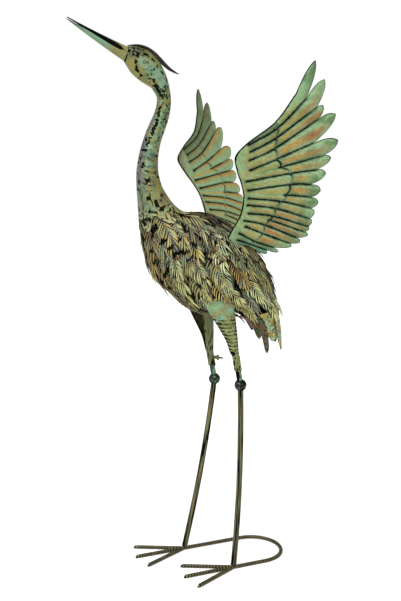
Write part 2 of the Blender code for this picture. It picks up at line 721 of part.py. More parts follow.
def main():
    for old in list(bpy.data.objects):
        bpy.data.objects.remove(old, do_unlink=True)
    feathers = paint("feathered shell", "8A8A55", 0.5, 0.5)
    tailGold = paint("tail sheet", "A08A45", 0.5, 0.5)
    neckGreen = paint("neck sheet", "8CA06A", 0.5, 0.45)
    beakDark = paint("upper beak sheet", "3A3A30", 0.4, 0.5)
    beakMint = paint("lower beak sheet", "9AB58A", 0.4, 0.5)
    crestDark = paint("crest sheet", "2E2620", 0.4, 0.5)
    wingGreen = paint("wing sheet", "6FA57C", 0.5, 0.45)
    thighGreen = paint("thigh sheet", "7FA57A", 0.5, 0.5)
    legBronze = paint("leg rod", "4A4A34", 0.7, 0.45)
    ballDark = paint("knee ball", "262A22", 0.7, 0.35)
    ribbedRod = paint("ribbed rod", "4E4A38", 0.7, 0.5)

    bodyCutter = buildBodyCutter(feathers)
    headCutter = buildHeadCutter(neckGreen)
    pieces = [bodyCutter, headCutter, buildBody(feathers), buildNeck(neckGreen)]
    pieces.append(buildMandible("beak_upper", BEAK_CROWN_Z, BEAK_TIP_UPPER, True, beakDark))
    pieces.append(buildMandible("beak_lower", BEAK_CHIN_Z, BEAK_TIP_LOWER, False, beakMint))
    pieces.append(buildCrest(headCutter, crestDark))
    pieces.append(buildTailFeather("tail_feather_centre", 1, TAIL_CENTRE, tailGold))
    pieces.append(buildLoop(ribbedRod))
    for word, side in (("left", -1), ("right", 1)):
        for number, spec in enumerate(TAIL_FEATHERS, 1):
            pieces.append(buildTailFeather(f"{word}_tail_feather_{number}", side, spec, tailGold))
        pieces.append(buildWing(f"{word}_wing", side, bodyCutter, wingGreen))
        pieces.append(buildThigh(f"{word}_thigh", side, bodyCutter, thighGreen))
        pieces.append(buildScrew(f"{word}_clamp_screw", side, ballDark))
        pieces.append(buildUpperRod(f"{word}_upper_rod", side, legBronze))
        pieces.append(buildBall(f"{word}_knee_ball", side, ballDark))
        pieces.append(buildLegTube(f"{word}_leg_tube", side, legBronze))
        for place, degrees in (("outer", TOE_SPREAD), ("middle", 0), ("inner", -TOE_SPREAD)):
            pieces.append(buildToe(f"{word}_{place}_toe", side, degrees * side, ribbedRod))
    standOnOrigin(pieces)


main()
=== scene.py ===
import json
import math
import random

import bpy
import numpy as np
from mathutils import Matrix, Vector, noise

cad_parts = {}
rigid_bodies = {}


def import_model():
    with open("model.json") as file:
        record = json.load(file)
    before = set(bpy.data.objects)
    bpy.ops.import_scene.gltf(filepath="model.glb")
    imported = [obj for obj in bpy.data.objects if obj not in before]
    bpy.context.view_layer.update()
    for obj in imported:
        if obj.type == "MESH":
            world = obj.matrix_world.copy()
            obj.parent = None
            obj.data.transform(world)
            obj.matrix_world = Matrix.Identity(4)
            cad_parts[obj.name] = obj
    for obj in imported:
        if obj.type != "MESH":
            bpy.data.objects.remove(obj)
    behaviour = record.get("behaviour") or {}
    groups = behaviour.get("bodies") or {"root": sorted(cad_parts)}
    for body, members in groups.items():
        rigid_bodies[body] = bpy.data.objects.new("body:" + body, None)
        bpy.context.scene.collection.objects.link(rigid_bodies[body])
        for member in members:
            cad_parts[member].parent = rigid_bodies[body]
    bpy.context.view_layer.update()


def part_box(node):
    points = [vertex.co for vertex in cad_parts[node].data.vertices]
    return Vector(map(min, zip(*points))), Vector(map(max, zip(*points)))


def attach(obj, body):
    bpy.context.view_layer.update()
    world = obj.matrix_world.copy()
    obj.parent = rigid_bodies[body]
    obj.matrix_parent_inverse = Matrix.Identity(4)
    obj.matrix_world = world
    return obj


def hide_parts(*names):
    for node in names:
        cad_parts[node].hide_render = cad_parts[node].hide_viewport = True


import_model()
random.seed(11)
mm = 0.001
sides = ((-1, "left"), (1, "right"))          # the bird faces -x, so its left is at -y

# The drawing's zero is between the feet, the frame's is under the middle of the whole bird
kneeLow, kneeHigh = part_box("left_knee_ball")
kneeDrawn = np.array([46.7, -58.4, 389.7])
shift = np.array((kneeLow + kneeHigh) / 2) / mm - kneeDrawn
print("frame loaded, drawing moved by", [round(float(v), 2) for v in shift])


# Camera, light and floor
studio = {
    "eye": (-645.9, -1500.7, 782.0), "lens": 48.31, "pitch": 7.813, "yaw": 22.745,
    "backdrop": 1.0, "skyLight": 0.46, "keyStrength": 3.9, "keySoftness": 60.0,
    "keyFrom": (-0.6, -0.7, 1.25), "floorSize": 60.0, "fibre": 4.0, "paper": (0.93, 0.96),
    "clip": (0.05, 60)}


def tone(code):
    # sRGB hex to linear light
    parts = [int(code[i:i + 2], 16) / 255 for i in (1, 3, 5)]
    return np.array([c / 12.92 if c <= 0.04045 else ((c + 0.055) / 1.055) ** 2.4 for c in parts])


def perMetre(size):
    # how many of a pattern of this size in millimetres fit in a metre
    return 1000.0 / size


def addNode(tree, kind, give, values=None, links=None, **settings):
    # one node with its input values, links and settings; it hands back the output asked for
    node = tree.nodes.new("ShaderNode" + kind)
    for key, value in settings.items():
        setattr(node, key, value)
    for key, value in (values or {}).items():
        node.inputs[key].default_value = value
    for key, source in (links or {}).items():
        tree.links.new(source, node.inputs[key])
    return node.outputs[give]


def addObject(name, data):
    item = bpy.data.objects.new(name, data)
    bpy.context.scene.collection.objects.link(item)
    return item


def newMaterial(name):
    material = bpy.data.materials.new(name)
    material.use_nodes = True
    tree = material.node_tree
    return material, tree, tree.nodes["Principled BSDF"]


def paintedSheet(name, changes):
    # Sheet steel, pressed and then painted by hand with satin metal paint: soft colour fields from
    # the mesh's paint, ragged black wash where the mesh has ink, fine stipple, soft sheen.
    look = {**sheetLook, **changes}
    material, tree, shader = newMaterial(name)
    place = {"Vector": addNode(tree, "TexCoord", "Object")}
    paint = addNode(tree, "Attribute", "Color", attribute_name=look["paintLayer"])
    ink = addNode(tree, "Attribute", "Fac", attribute_name=look["inkLayer"])
    patches = addNode(tree, "TexNoise", "Fac", {"Scale": perMetre(look["patch"]), "Detail": 3.0}, place)
    grain = addNode(tree, "TexNoise", "Fac",
                    {"Scale": perMetre(look["grain"]), "Detail": 4.0, "Roughness": 0.65}, place)
    specks = addNode(tree, "TexNoise", "Fac", {"Scale": perMetre(look["speck"]), "Detail": 2.0}, place)
    bloom = addNode(tree, "MapRange", "Result",
                    {"From Min": look["bloomFrom"], "From Max": 0.68, "To Max": look["bloom"]},
                    {"Value": patches})
    mixed = addNode(tree, "Mix", "Result", {"B": (*tone(look["bloomTone"]), 1)},
                    {"Factor": bloom, "A": paint}, data_type="RGBA")
    shade = addNode(tree, "MapRange", "Result",
                    {"From Min": 0.32, "From Max": 0.68, "To Min": 1 - look["stipple"],
                     "To Max": 1 + 0.6 * look["stipple"]}, {"Value": grain})
    stippled = addNode(tree, "VectorMath", "Vector", {}, {0: mixed, 1: shade}, operation="MULTIPLY")
    ragged = addNode(tree, "Math", "Value", {1: look["ragged"], 2: -0.5 * look["ragged"]},
                     {0: grain}, operation="MULTIPLY_ADD")
    inkEdge = addNode(tree, "Math", "Value", {}, {0: ink, 1: ragged}, operation="ADD")
    inkMask = addNode(tree, "MapRange", "Result", {"From Min": 0.42, "From Max": 0.6},
                      {"Value": inkEdge})
    speckMask = addNode(tree, "MapRange", "Result",
                        {"From Min": look["speckFrom"], "From Max": look["speckFrom"] + 0.05,
                         "To Max": look["speckDepth"]}, {"Value": specks})
    dark = addNode(tree, "Math", "Value", {}, {0: inkMask, 1: speckMask}, operation="MAXIMUM")
    final = addNode(tree, "Mix", "Result", {"B": (*tone(look["inkTone"]), 1)},
                    {"Factor": dark, "A": stippled}, data_type="RGBA")
    low, high = look["rough"]
    rough = addNode(tree, "MapRange", "Result", {"To Min": low, "To Max": high}, {"Value": grain})
    matt = addNode(tree, "Mix", "Result", {"B": look["inkRough"]}, {"Factor": dark, "A": rough})
    sheen = addNode(tree, "Mix", "Result", {"A": 0.5, "B": look["inkSheen"]}, {"Factor": dark})
    bump = addNode(tree, "Bump", "Normal", {"Strength": look["bump"], "Distance": look["bumpDepth"] * mm},
                   {"Height": grain})
    for socket, source in (("Base Color", final), ("Roughness", matt),
                           ("Specular IOR Level", sheen), ("Normal", bump)):
        tree.links.new(source, shader.inputs[socket])
    shader.inputs["Metallic"].default_value = look["metal"]
    return material


# What the painted sheets have in common; each piece changes what differs
sheetLook = {
    "paintLayer": "paint", "inkLayer": "ink", "patch": 26.0, "bloom": 0.35, "bloomFrom": 0.45,
    "bloomTone": "#7BA27C", "grain": 3.2, "stipple": 0.22,
    "ragged": 0.9, "speck": 2.6, "speckFrom": 0.66, "speckDepth": 0.75, "inkTone": "#12160F",
    "rough": (0.4, 0.65), "inkRough": 0.8, "inkSheen": 0.0, "bump": 0.3, "bumpDepth": 0.6,
    "metal": 0.25}
paintDepth = 0.8          # the studio light is strong, so the paint is laid on this much darker


def spline(rows, t):
    # Catmull-Rom curve through the rows, for many values of t at once
    rows = np.asarray(rows, float)
    t = np.asarray(t, float)
    last = len(rows) - 1
    i = np.clip(np.floor(t), 0, last - 1).astype(int)
    f = (t - i)[..., None]
    padded = np.vstack([2 * rows[0] - rows[1], rows, 2 * rows[-1] - rows[-2]])
    before, a, b, after = padded[i], padded[i + 1], padded[i + 2], padded[i + 3]
    return a + 0.5 * f * ((b - before) + f * (2 * before - 5 * a + 4 * b - after
                                              + f * (3 * (a - b) + after - before)))


def unit(vectors):
    vectors = np.asarray(vectors, float)
    return vectors / np.linalg.norm(vectors, axis=-1, keepdims=True)


def lengthsAlong(path):
    return np.concatenate([[0], np.cumsum(np.linalg.norm(np.diff(path, axis=0), axis=1))])


def circle(count):
    return np.linspace(0, 2 * math.pi, count, endpoint=False)


def easing(value, low, high):
    # 0 below low, 1 above high, smooth between
    share = np.clip((np.asarray(value, float) - low) / (high - low), 0, 1)
    return share * share * (3 - 2 * share)


def blot(points, size, seed=0):
    # soft noise from 0 to 1 with blots of this size
    spots = np.asarray(points, float).reshape(-1, 3) / size + seed * 17.3
    values = np.array([noise.noise(Vector(p)) for p in spots])
    return np.clip(0.5 + 0.62 * values, 0, 1).reshape(np.shape(points)[:-1])


def blend(first, second, share):
    return first + (second - first) * np.asarray(share, float)[..., None]


def patchy(points, size, seed, low, high):
    # blots with clearer edges
    return easing(blot(points, size, seed), low, high)


def hump(value, width, power=2):
    # 1 at zero, soon gone beyond this width
    return np.exp(-(value / width) ** power)


def tonesOf(look):
    return {key: tone(value) for key, value in look.items() if isinstance(value, str)}


def coats(paint, tones, layers):
    # coats of paint, one over the other
    for key, share in layers:
        paint = blend(paint, tones[key], share)
    return paint


def gridFaces(rows, columns, start=0, closed=False):
    faces = []
    for j in range(rows - 1):
        for k in range(columns if closed else columns - 1):
            a, b = start + j * columns + k, start + j * columns + (k + 1) % columns
            faces.append((a, b, b + columns, a + columns))
    return faces


def addPiece(name, points, faces, materials, paint, ink, slot, nodes=(), sharp=50, facing=None,
             **layers):
    # one piece in the frame, with its paint, its ink and any further layers on the points
    mesh = bpy.data.meshes.new(name)
    spots = (np.asarray(points, float).reshape(-1, 3) + shift) * mm
    mesh.from_pydata([tuple(p) for p in spots], [], [tuple(int(v) for v in f) for f in faces])
    for key, values in {"paint": paint, "ink": ink, **layers}.items():
        if np.ndim(values) == 2:
            layer = mesh.attributes.new(key, "FLOAT_COLOR", "POINT")
            flat = np.column_stack([values * paintDepth, np.ones(len(spots))])
            layer.data.foreach_set("color", flat.ravel())
        else:
            layer = mesh.attributes.new(key, "FLOAT", "POINT")
            layer.data.foreach_set("value", np.asarray(values, float))
    if facing is not None:
        towards = sum(f.normal.dot(Vector(facing)) * f.area for f in mesh.polygons)
        if towards < 0:
            mesh.flip_normals()
    for material in materials:
        mesh.materials.append(material)
    mesh.shade_smooth()
    mesh.set_sharp_from_angle(angle=math.radians(sharp))
    piece = addObject(name, mesh)
    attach(piece, "root")
    if nodes:
        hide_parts(*nodes)
    return piece


def thicken(piece, thickness):
    # the sheet grows inwards, and its inner side takes the second material
    press = piece.modifiers.new("sheet", "SOLIDIFY")
    press.thickness = thickness * mm
    press.offset = -1
    press.material_offset = 1


def ovals(centres, right, up, count):
    # a ring of points round each centre, from the ring's two half axes
    turns = circle(count)[None, :, None]
    return centres[:, None] + right[:, None] * np.cos(turns) + up[:, None] * np.sin(turns)


def ringSkin(rings, startPoint=None, endPoint=None):
    # skin over equal rings, closed with fans where an end point is given
    rings = np.asarray(rings, float)
    count, around = rings.shape[:2]
    points = rings.reshape(-1, 3)
    faces = gridFaces(count, around, closed=True)
    if startPoint is not None:
        points = np.vstack([points, startPoint])
        faces += [(len(points) - 1, (k + 1) % around, k) for k in range(around)]
    if endPoint is not None:
        points = np.vstack([points, endPoint])
        base = (count - 1) * around
        faces += [(len(points) - 1, base + k, base + (k + 1) % around) for k in range(around)]
    return points, faces


def buildStudio():
    scene = bpy.context.scene
    scene.view_settings.view_transform = "Standard"
    camera = addObject("camera", bpy.data.cameras.new("camera"))
    camera.location = (np.array(studio["eye"]) + shift) * mm
    camera.rotation_euler = (math.radians(90 - studio["pitch"]), 0, math.radians(-studio["yaw"]))
    camera.data.lens = studio["lens"]
    camera.data.clip_start, camera.data.clip_end = studio["clip"]
    scene.camera = camera
    # a white backdrop for the camera, and softer light from all round for the bird
    world = bpy.data.worlds.new("white studio")
    world.use_nodes = True
    tree = world.node_tree
    seen = addNode(tree, "LightPath", "Is Camera Ray")
    level = addNode(tree, "MapRange", "Result",
                    {"To Min": studio["skyLight"], "To Max": studio["backdrop"]}, {"Value": seen})
    tree.links.new(level, tree.nodes["Background"].inputs["Strength"])
    tree.nodes["Background"].inputs["Color"].default_value = (1, 1, 1, 1)
    scene.world = world
    key = addObject("softbox", bpy.data.lights.new("softbox", "SUN"))
    key.data.energy = studio["keyStrength"]
    key.data.angle = math.radians(studio["keySoftness"])
    key.rotation_euler = Vector(studio["keyFrom"]).to_track_quat("Z", "Y").to_euler()
    half = studio["floorSize"] / 2
    mesh = bpy.data.meshes.new("floor")
    mesh.from_pydata([(-half, -half, 0), (half, -half, 0), (half, half, 0), (-half, half, 0)], [],
                     [(0, 1, 2, 3)])
    # matt white paper sweep, hardly any texture
    material, tree, shader = newMaterial("white paper sweep")
    place = addNode(tree, "TexCoord", "Object")
    fibre = addNode(tree, "TexNoise", "Fac", {"Scale": perMetre(studio["fibre"])}, {"Vector": place})
    low, high = studio["paper"]
    pale = addNode(tree, "MapRange", "Result", {"To Min": low, "To Max": high}, {"Value": fibre})
    tree.links.new(pale, shader.inputs["Base Color"])
    shader.inputs["Roughness"].default_value = 0.9
    shader.inputs["Specular IOR Level"].default_value = 0.1
    mesh.materials.append(material)
    addObject("floor", mesh)
    print("studio ready")


buildStudio()


# Shape of thighs and legs, which the body's feathers hang over. Thigh rows are centre x,
# centre |y|, share of the way up, half depth, half width, wrapped degrees.
thigh = {
    "rows": [(30, 56.5, 0.06, 9.6, 8.6, 335), (24.5, 54.5, 0.24, 14, 11, 310),
             (11, 51.5, 0.51, 24.5, 15, 280), (-1.5, 49, 0.74, 32, 17.5, 268), (-16, 46, 1, 36, 19, 262)],
    "top": 604.0, "sleeve": (30.0, 60.0), "sleeveRadius": 7.88, "sleeveWrap": 348, "sheet": 1.4,
    "green": "#8EA66C", "olive": "#7C8448", "band": "#AA7444", "turquoise": "#78B2A0",
    "khaki": "#8E965A", "farThighShade": "#686C42", "gold": "#B0923C", "barStep": 7.6, "barFrom": 533.0,
    "barTo": 458.0, "bandAt": 540.0, "mesh": (230, 64)}
leg = {
    "knee": (43.5, 58.4, 384.0), "skew": (3.2, 5.7), "lean": -0.18, "tube": 12.0, "ball": 25.0, "gap": 0.3,
    "around": 18, "rings": (90, 20), "stance": 123.8, "stride": 62.2, "bow": 6.0, "toeRod": 8.0,
    "loopRod": 8.0, "toeLength": 110.0, "toeSpread": 25.8, "loopLength": 168.5, "rodReach": 50.0,
    "bronze": "#2F2C1A", "streak": "#7A7242", "verdigris": "#6C9A78"}


def kneePoint(side):
    x, y, z = leg["knee"]
    return np.array([x - side * leg["skew"][0], side * y, z - side * leg["skew"][1]])


def footPoint(side):
    return np.array([-side * leg["stride"] / 2, side * leg["stance"] / 2, 0])


def rodPoint(side, height):
    return kneePoint(side) + np.array([leg["lean"], 0, 1]) * height


def thighStations(side):
    bottom, top = rodPoint(side, thigh["sleeve"][0]), rodPoint(side, thigh["sleeve"][1])
    radius = thigh["sleeveRadius"]
    rows = [(*bottom, radius, radius, thigh["sleeveWrap"]),
            (*(bottom * 0.4 + top * 0.6), radius, radius, thigh["sleeveWrap"]),
            (*top, radius, radius, thigh["sleeveWrap"])]
    for x, y, share, depth, width, wrap in thigh["rows"]:
        skew = np.array([-side * leg["skew"][0] * (1 - share), 0, 0])
        z = top[2] + (thigh["top"] - top[2]) * share
        rows.append((x + skew[0], side * y, z, depth, width, wrap))
    return np.array(rows)


# Body: a dark under-shell with rows of pressed leaf feathers, each with its own barbs.
# Sections from neck to tail are belly x, z, back x, z and half width.
bodySections = [
    (-144, 741, -84, 757, 33), (-143, 715, -58, 739.5, 42), (-140, 683, -20, 738, 52),
    (-132, 653, 15, 728, 60), (-119, 618, 48, 708, 65), (-98, 592, 78, 684, 68),
    (-67, 563, 104, 656, 68), (-28, 539, 127, 620, 66), (16, 533, 141, 584, 60),
    (55, 528, 148, 549, 52), (82, 517, 152, 523, 44), (102, 490, 157, 499, 36),
    (112, 465, 161, 475, 29), (119, 438, 164, 447, 22), (124, 412, 166, 420, 16)]
body = {
    "shellDepth": 6.5, "rows": 13, "rowStep": 0.64, "spacing": 37.0, "length": 74.0, "halfWidth": 19.0,
    "barbs": 11, "barbWidth": 3.5, "barbRise": 1.3, "tipLift": 1.2, "rootDepth": 5.0, "droop": 2.0,
    "sunk": 1.2, "overTail": 6.5, "overThigh": 5.0, "thighHem": 563.0, "shellMesh": (100, 96),
    # along each barb from root to tip: its width, its ridge and its brightness (low at the root: painted
    # shade)
    "barbTaper": (0.6, 0.9, 1, 1, 0.85, 0.15), "barbRidge": (0.6, 1, 1, 0.9, 0.7, 0.1),
    "barbTone": (0.5, 0.85, 1.1, 1.15, 1.05, 0.8),
    "gold": "#CCC678", "khaki": "#C0C890", "pale": "#CFD4A6", "orange": "#B89A50", "brown": "#665634",
    "greyGreen": "#93AA8C", "lilac": "#857B80", "rust": "#A67848", "blade": "#7A8C74", "gap": "#100F09"}


def bodySkin(s, angle, out=0.0):
    # point of the body's outer skin; angle 0 is the back, a quarter turn the left side
    s, angle = np.broadcast_arrays(np.asarray(s, float), np.asarray(angle, float))

    def at(u, a):
        rows = spline(bodySections, u)
        below, above = (np.stack([rows[..., k], 0 * a, rows[..., k + 1]], -1) for k in (0, 2))
        centre, axis = (below + above) / 2, (above - below) / 2
        side = np.stack([0 * a, -rows[..., 4] * np.sin(a), 0 * a], -1)
        return centre + axis * np.cos(a)[..., None] + side

    step = 0.02
    along = at(s + step, angle) - at(s - step, angle)
    about = at(s, angle + step) - at(s, angle - step)
    return at(s, angle) + unit(np.cross(about, along)) * np.broadcast_to(out, s.shape)[..., None]


def bodyMeasures(s):
    # millimetres for one section step, and the radius that gives the same girth
    rows = spline(bodySections, [s - 0.5, s, s + 0.5])
    middle = (rows[:, 0:2] + rows[:, 2:4]) / 2
    depth = np.hypot(rows[1, 2] - rows[1, 0], rows[1, 3] - rows[1, 1]) / 2
    return float(np.linalg.norm(middle[2] - middle[0])), math.sqrt((depth ** 2 + rows[1, 4] ** 2) / 2)


def thighBulge(points):
    # how far the feathers stand out sideways where they hang over the top of a thigh
    push = np.zeros(len(points))
    for side in (-1, 1):
        rows = spline(thighStations(side), np.linspace(3, 7, 40))
        x, y, depth, width = (np.interp(points[:, 2], rows[:, 2], rows[:, k]) for k in (0, 1, 3, 4))
        across = np.clip(1 - ((points[:, 0] - x) / (1.15 * depth)) ** 2, 0, 1)
        gap = np.abs(y) + width * np.sqrt(across) + body["overThigh"] - np.abs(points[:, 1])
        ragged = body["thighHem"] + 14 * (blot(points, 6, 81) - 0.5) - 0.12 * (points[:, 0] - 10)
        hem = easing(points[:, 2] - ragged, -7, 0)
        mask = easing(across, 0, 0.25) * hem * (1 - easing(points[:, 2], thigh["top"], thigh["top"] + 30))
        near = points[:, 1] * side > 12
        push = np.where(near, side * np.clip(gap, 0, 25) * mask, push)
    return push


def buildBody():
    tones = tonesOf(body)
    # the dark shell under the feathers
    levels, around = body["shellMesh"]
    turns = circle(around)
    rings = []
    for s in np.linspace(0, 10, levels):
        ring = bodySkin(s, turns, -body["shellDepth"])
        push = thighBulge(bodySkin(s, turns))
        ring[:, 1] += push * (1 + (body["shellDepth"] - 4) / np.maximum(np.abs(push), 3))
        rings.append(ring)
    points, faces = ringSkin(rings, np.mean(rings[0], 0), np.mean(rings[-1], 0))
    paint = blend(tones["gap"], tones["blade"], 0.3 * blot(points, 14))
    addPiece("body_shell", points, faces, [bodyPaint], paint, 0 * paint[:, 0] + 0.7, "feather_shell",
             ["body"])
    stations, turns, lifts, hues, brights, inks, faces = [], [], [], [], [], [], []
    total = 0
    steps = np.linspace(0, 1, 6)
    taper, ridges, fade = (np.array(body[key]) for key in ("barbTaper", "barbRidge", "barbTone"))

    def leaf(s0, a0, tilt, girth, stepLength, size, hue, light, sunk):
        # one feather: a black blade, a curved midrib and two combs of barbs, the lower comb longer
        nonlocal total
        length, half = body["length"] * size, body["halfWidth"] * size
        belly = 1 if math.sin(a0) > 0 else -1
        # now and then a whole feather's end stands off the body
        stand = random.choice((0, 0, 1.5, 4.0))

        def lay(p, q, lift, colour, bright, ink):
            # p along the midrib and q across, in millimetres
            p, q = np.asarray(p, float), np.asarray(q, float)
            u = np.clip(p / length, -0.2, 1.3)
            plane = (body["tipLift"] - body["rootDepth"] * np.clip(1 - u, 0, 2) ** 1.2
                     - body["droop"] * (q / half) ** 2 * (0.4 + 0.6 * u) + stand * np.clip(u, 0, 1.2) ** 3)
            s = s0 + p / stepLength
            stations.append(s)
            turns.append(a0 + tilt * u + belly * 5.0 * (u * u - u) / girth + q / girth)
            lifts.append(plane - sunk + lift + body["overTail"] * easing(s, 8.2, 9.6))
            hues.append(np.broadcast_to(colour, (len(p), 3)))
            brights.append(np.broadcast_to(bright, len(p)))
            inks.append(np.broadcast_to(ink, len(p)))

        def strip(pc, qc, wide, low, rise, bright, shades):
            # three lines of points along a barb or the midrib, the middle one raised
            nonlocal total
            dp, dq = np.gradient(pc), np.gradient(qc)
            scale = np.hypot(dp, dq)
            for w in (-1, 0, 1):
                lay(pc - w * wide * dq / scale, qc + w * wide * dp / scale, low + (1 - abs(w)) * rise,
                    base, bright * shades[abs(w)], 0.8 * abs(w))
            faces.extend(gridFaces(3, len(pc), total))
            total += 3 * len(pc)

        # blade
        us = np.array([0, 0.12, 0.26, 0.4, 0.55, 0.7, 0.82, 0.92])
        widths = half * 0.85 * np.array([0.15, 0.35, 0.6, 0.85, 1, 0.9, 0.6, 0.2])
        lay(np.repeat(us * length, 8), np.outer(widths, np.linspace(-1, 1, 8)).ravel(), -1.4,
            tones["blade"], 0.42 * light, 2.0)
        faces.extend(gridFaces(8, 8, total))
        total += 64

        # barbs, from root to tip on both sides
        base = blend(tones[hue[0]], tones[hue[1]], random.random())
        for side in (-1, 1):
            reach, ratio = (1.0, 1.1) if side == belly else (0.5, 1.9)
            for i in range(body["barbs"]):
                f = (i + random.uniform(-0.2, 0.2)) / (body["barbs"] - 1)
                start = length * (0.84 * f - 0.04)
                longness = (0.62 + 0.38 * math.sin(math.pi * (0.1 + 0.6 * f))) * random.uniform(0.78, 1.16)
                out = half * longness * (1.1 - 0.75 * abs(f) ** 2) * reach
                sweep = half * longness * reach * (ratio + 0.5 * f)
                pc = start + sweep * steps ** 1.1
                qc = side * out * np.sin(steps * 1.3) / math.sin(1.3)
                wide = body["barbWidth"] * taper / 2 * random.uniform(0.75, 1.1)
                # now and then a barb stands off the body
                flick = random.uniform(-0.5, 2.0) + (3.0 if random.random() < 0.16 else 0)
                # barbs nearer the root are painted darker: black paint, and painted shade under the row
                # above
                bright = light * random.uniform(0.72, 1.2) * (0.62 + 0.48 * float(easing(f, 0.0, 0.45)))
                strip(pc, qc, wide, flick * steps ** 2, body["barbRise"] * ridges, fade * bright,
                      (1.25, 0.55))
        # midrib, painted darker towards its root as painted shade under the row above
        pc = np.linspace(0, length * 0.9, 8)
        strip(pc, 0 * pc, 1.3 * (1 - 0.75 * pc / length), 0.3, 0.9,
              light * (0.6 + 0.5 * pc / length), (1.1, 0.5))

    mixes = [("gold", "khaki"), ("khaki", "pale"), ("gold", "pale"), ("gold", "khaki"),
             ("khaki", "gold"), ("gold", "orange")]
    darkMixes = [("orange", "brown"), ("khaki", "brown"), ("gold", "brown")]
    for row in range(body["rows"]):
        # bright feathers in every other row; dim ones sunk between them are darkened as painted shade
        dim = row % 2
        s0 = row * body["rowStep"] - 0.35
        stepLength, girth = bodyMeasures(min(max(0.0, s0) + 0.9, 11))
        count = int(np.clip(round(2 * math.pi * girth / body["spacing"]), 6, 12))
        for column in range(count):
            place = column + 0.5 * (row // 2 % 2) + 0.5 * dim + random.uniform(-0.14, 0.14)
            a0 = math.remainder(2 * math.pi * place / count, 2 * math.pi)
            root = max(0.0, s0 + random.uniform(-0.22, 0.22))
            if s0 > 6.6 and abs(a0) > 2.1:
                continue
            size = min(1.06, 2 * math.pi * girth / count / body["spacing"]) * random.uniform(0.9, 1.12)
            # the back between the wings is nearly black, the rear flanks are the brightest
            ridge = math.exp(-(a0 / 0.8) ** 2) * float(1 - easing(root, 6.2, 8.2))
            # painted shade: the underside and the lower flanks are darkened and take the darker mixes
            under = math.exp(-((abs(a0) - math.pi) / 0.6) ** 2)
            light = random.uniform(0.8, 1.2) * (1 - 0.6 * ridge) * (1 - 0.35 * under)
            light *= float(np.interp(root, [0, 2.5, 5, 7.5], [0.7, 1.0, 1.12, 1.3]))
            light *= 1 - 0.25 * math.exp(-((abs(a0) - 2.3) / 0.45) ** 2)
            hue = random.choice(darkMixes if ridge > 0.5 or under > 0.75 else mixes)
            if dim:
                light *= random.uniform(0.4, 0.75)
            tilt = random.uniform(-0.14, 0.14) + 0.16 * math.sin(a0)
            leaf(root, a0, tilt, girth, stepLength, size, hue, light, dim * body["sunk"])
    stations, turns, lifts, hues, brights, inks = (
        np.concatenate(values) for values in (stations, turns, lifts, hues, brights, inks))
    points = bodySkin(stations, turns, lifts)
    points[:, 1] += thighBulge(bodySkin(stations, turns))
    # patches of other paint and of black wash, over several barbs each
    breast = 1 - easing(stations, 2.5, 6.5)
    hues = coats(hues, tones, [("greyGreen", 0.7 * patchy(points, 15, 21, 0.58, 0.7)),
                               ("lilac", 0.5 * breast * patchy(points, 17, 31, 0.54, 0.66)),
                               ("rust", 0.6 * patchy(points, 13, 41, 0.66, 0.76))])
    wash = patchy(points, 12, 51, 0.58, 0.76) * (1 - 0.5 * easing(stations, 5, 8))
    mottle = patchy(points, 5, 61, 0.4, 0.56) * patchy(points, 21, 71, 0.3, 0.5)
    inks = np.where(inks > 1.5, 0.62 - 0.5 * mottle, np.maximum(inks, 0.6 * wash + 0.2 * wash * breast))
    addPiece("body_feathers", points, faces, [bodyPaint], hues * brights[:, None], inks, "feather_shell",
             ["body"], sharp=180)
    print("body:", total, "points")


# blackened and brushed with gold and khaki, the high barbs catch the light
bodyPaint = paintedSheet("pressed leaf feathers, gold brushed over black", {
    "patch": 34.0, "bloom": 0.0, "grain": 2.4, "stipple": 0.25, "speckFrom": 0.72,
    "inkTone": "#0C0C09", "ragged": 0.6, "metal": 0.25})
buildBody()


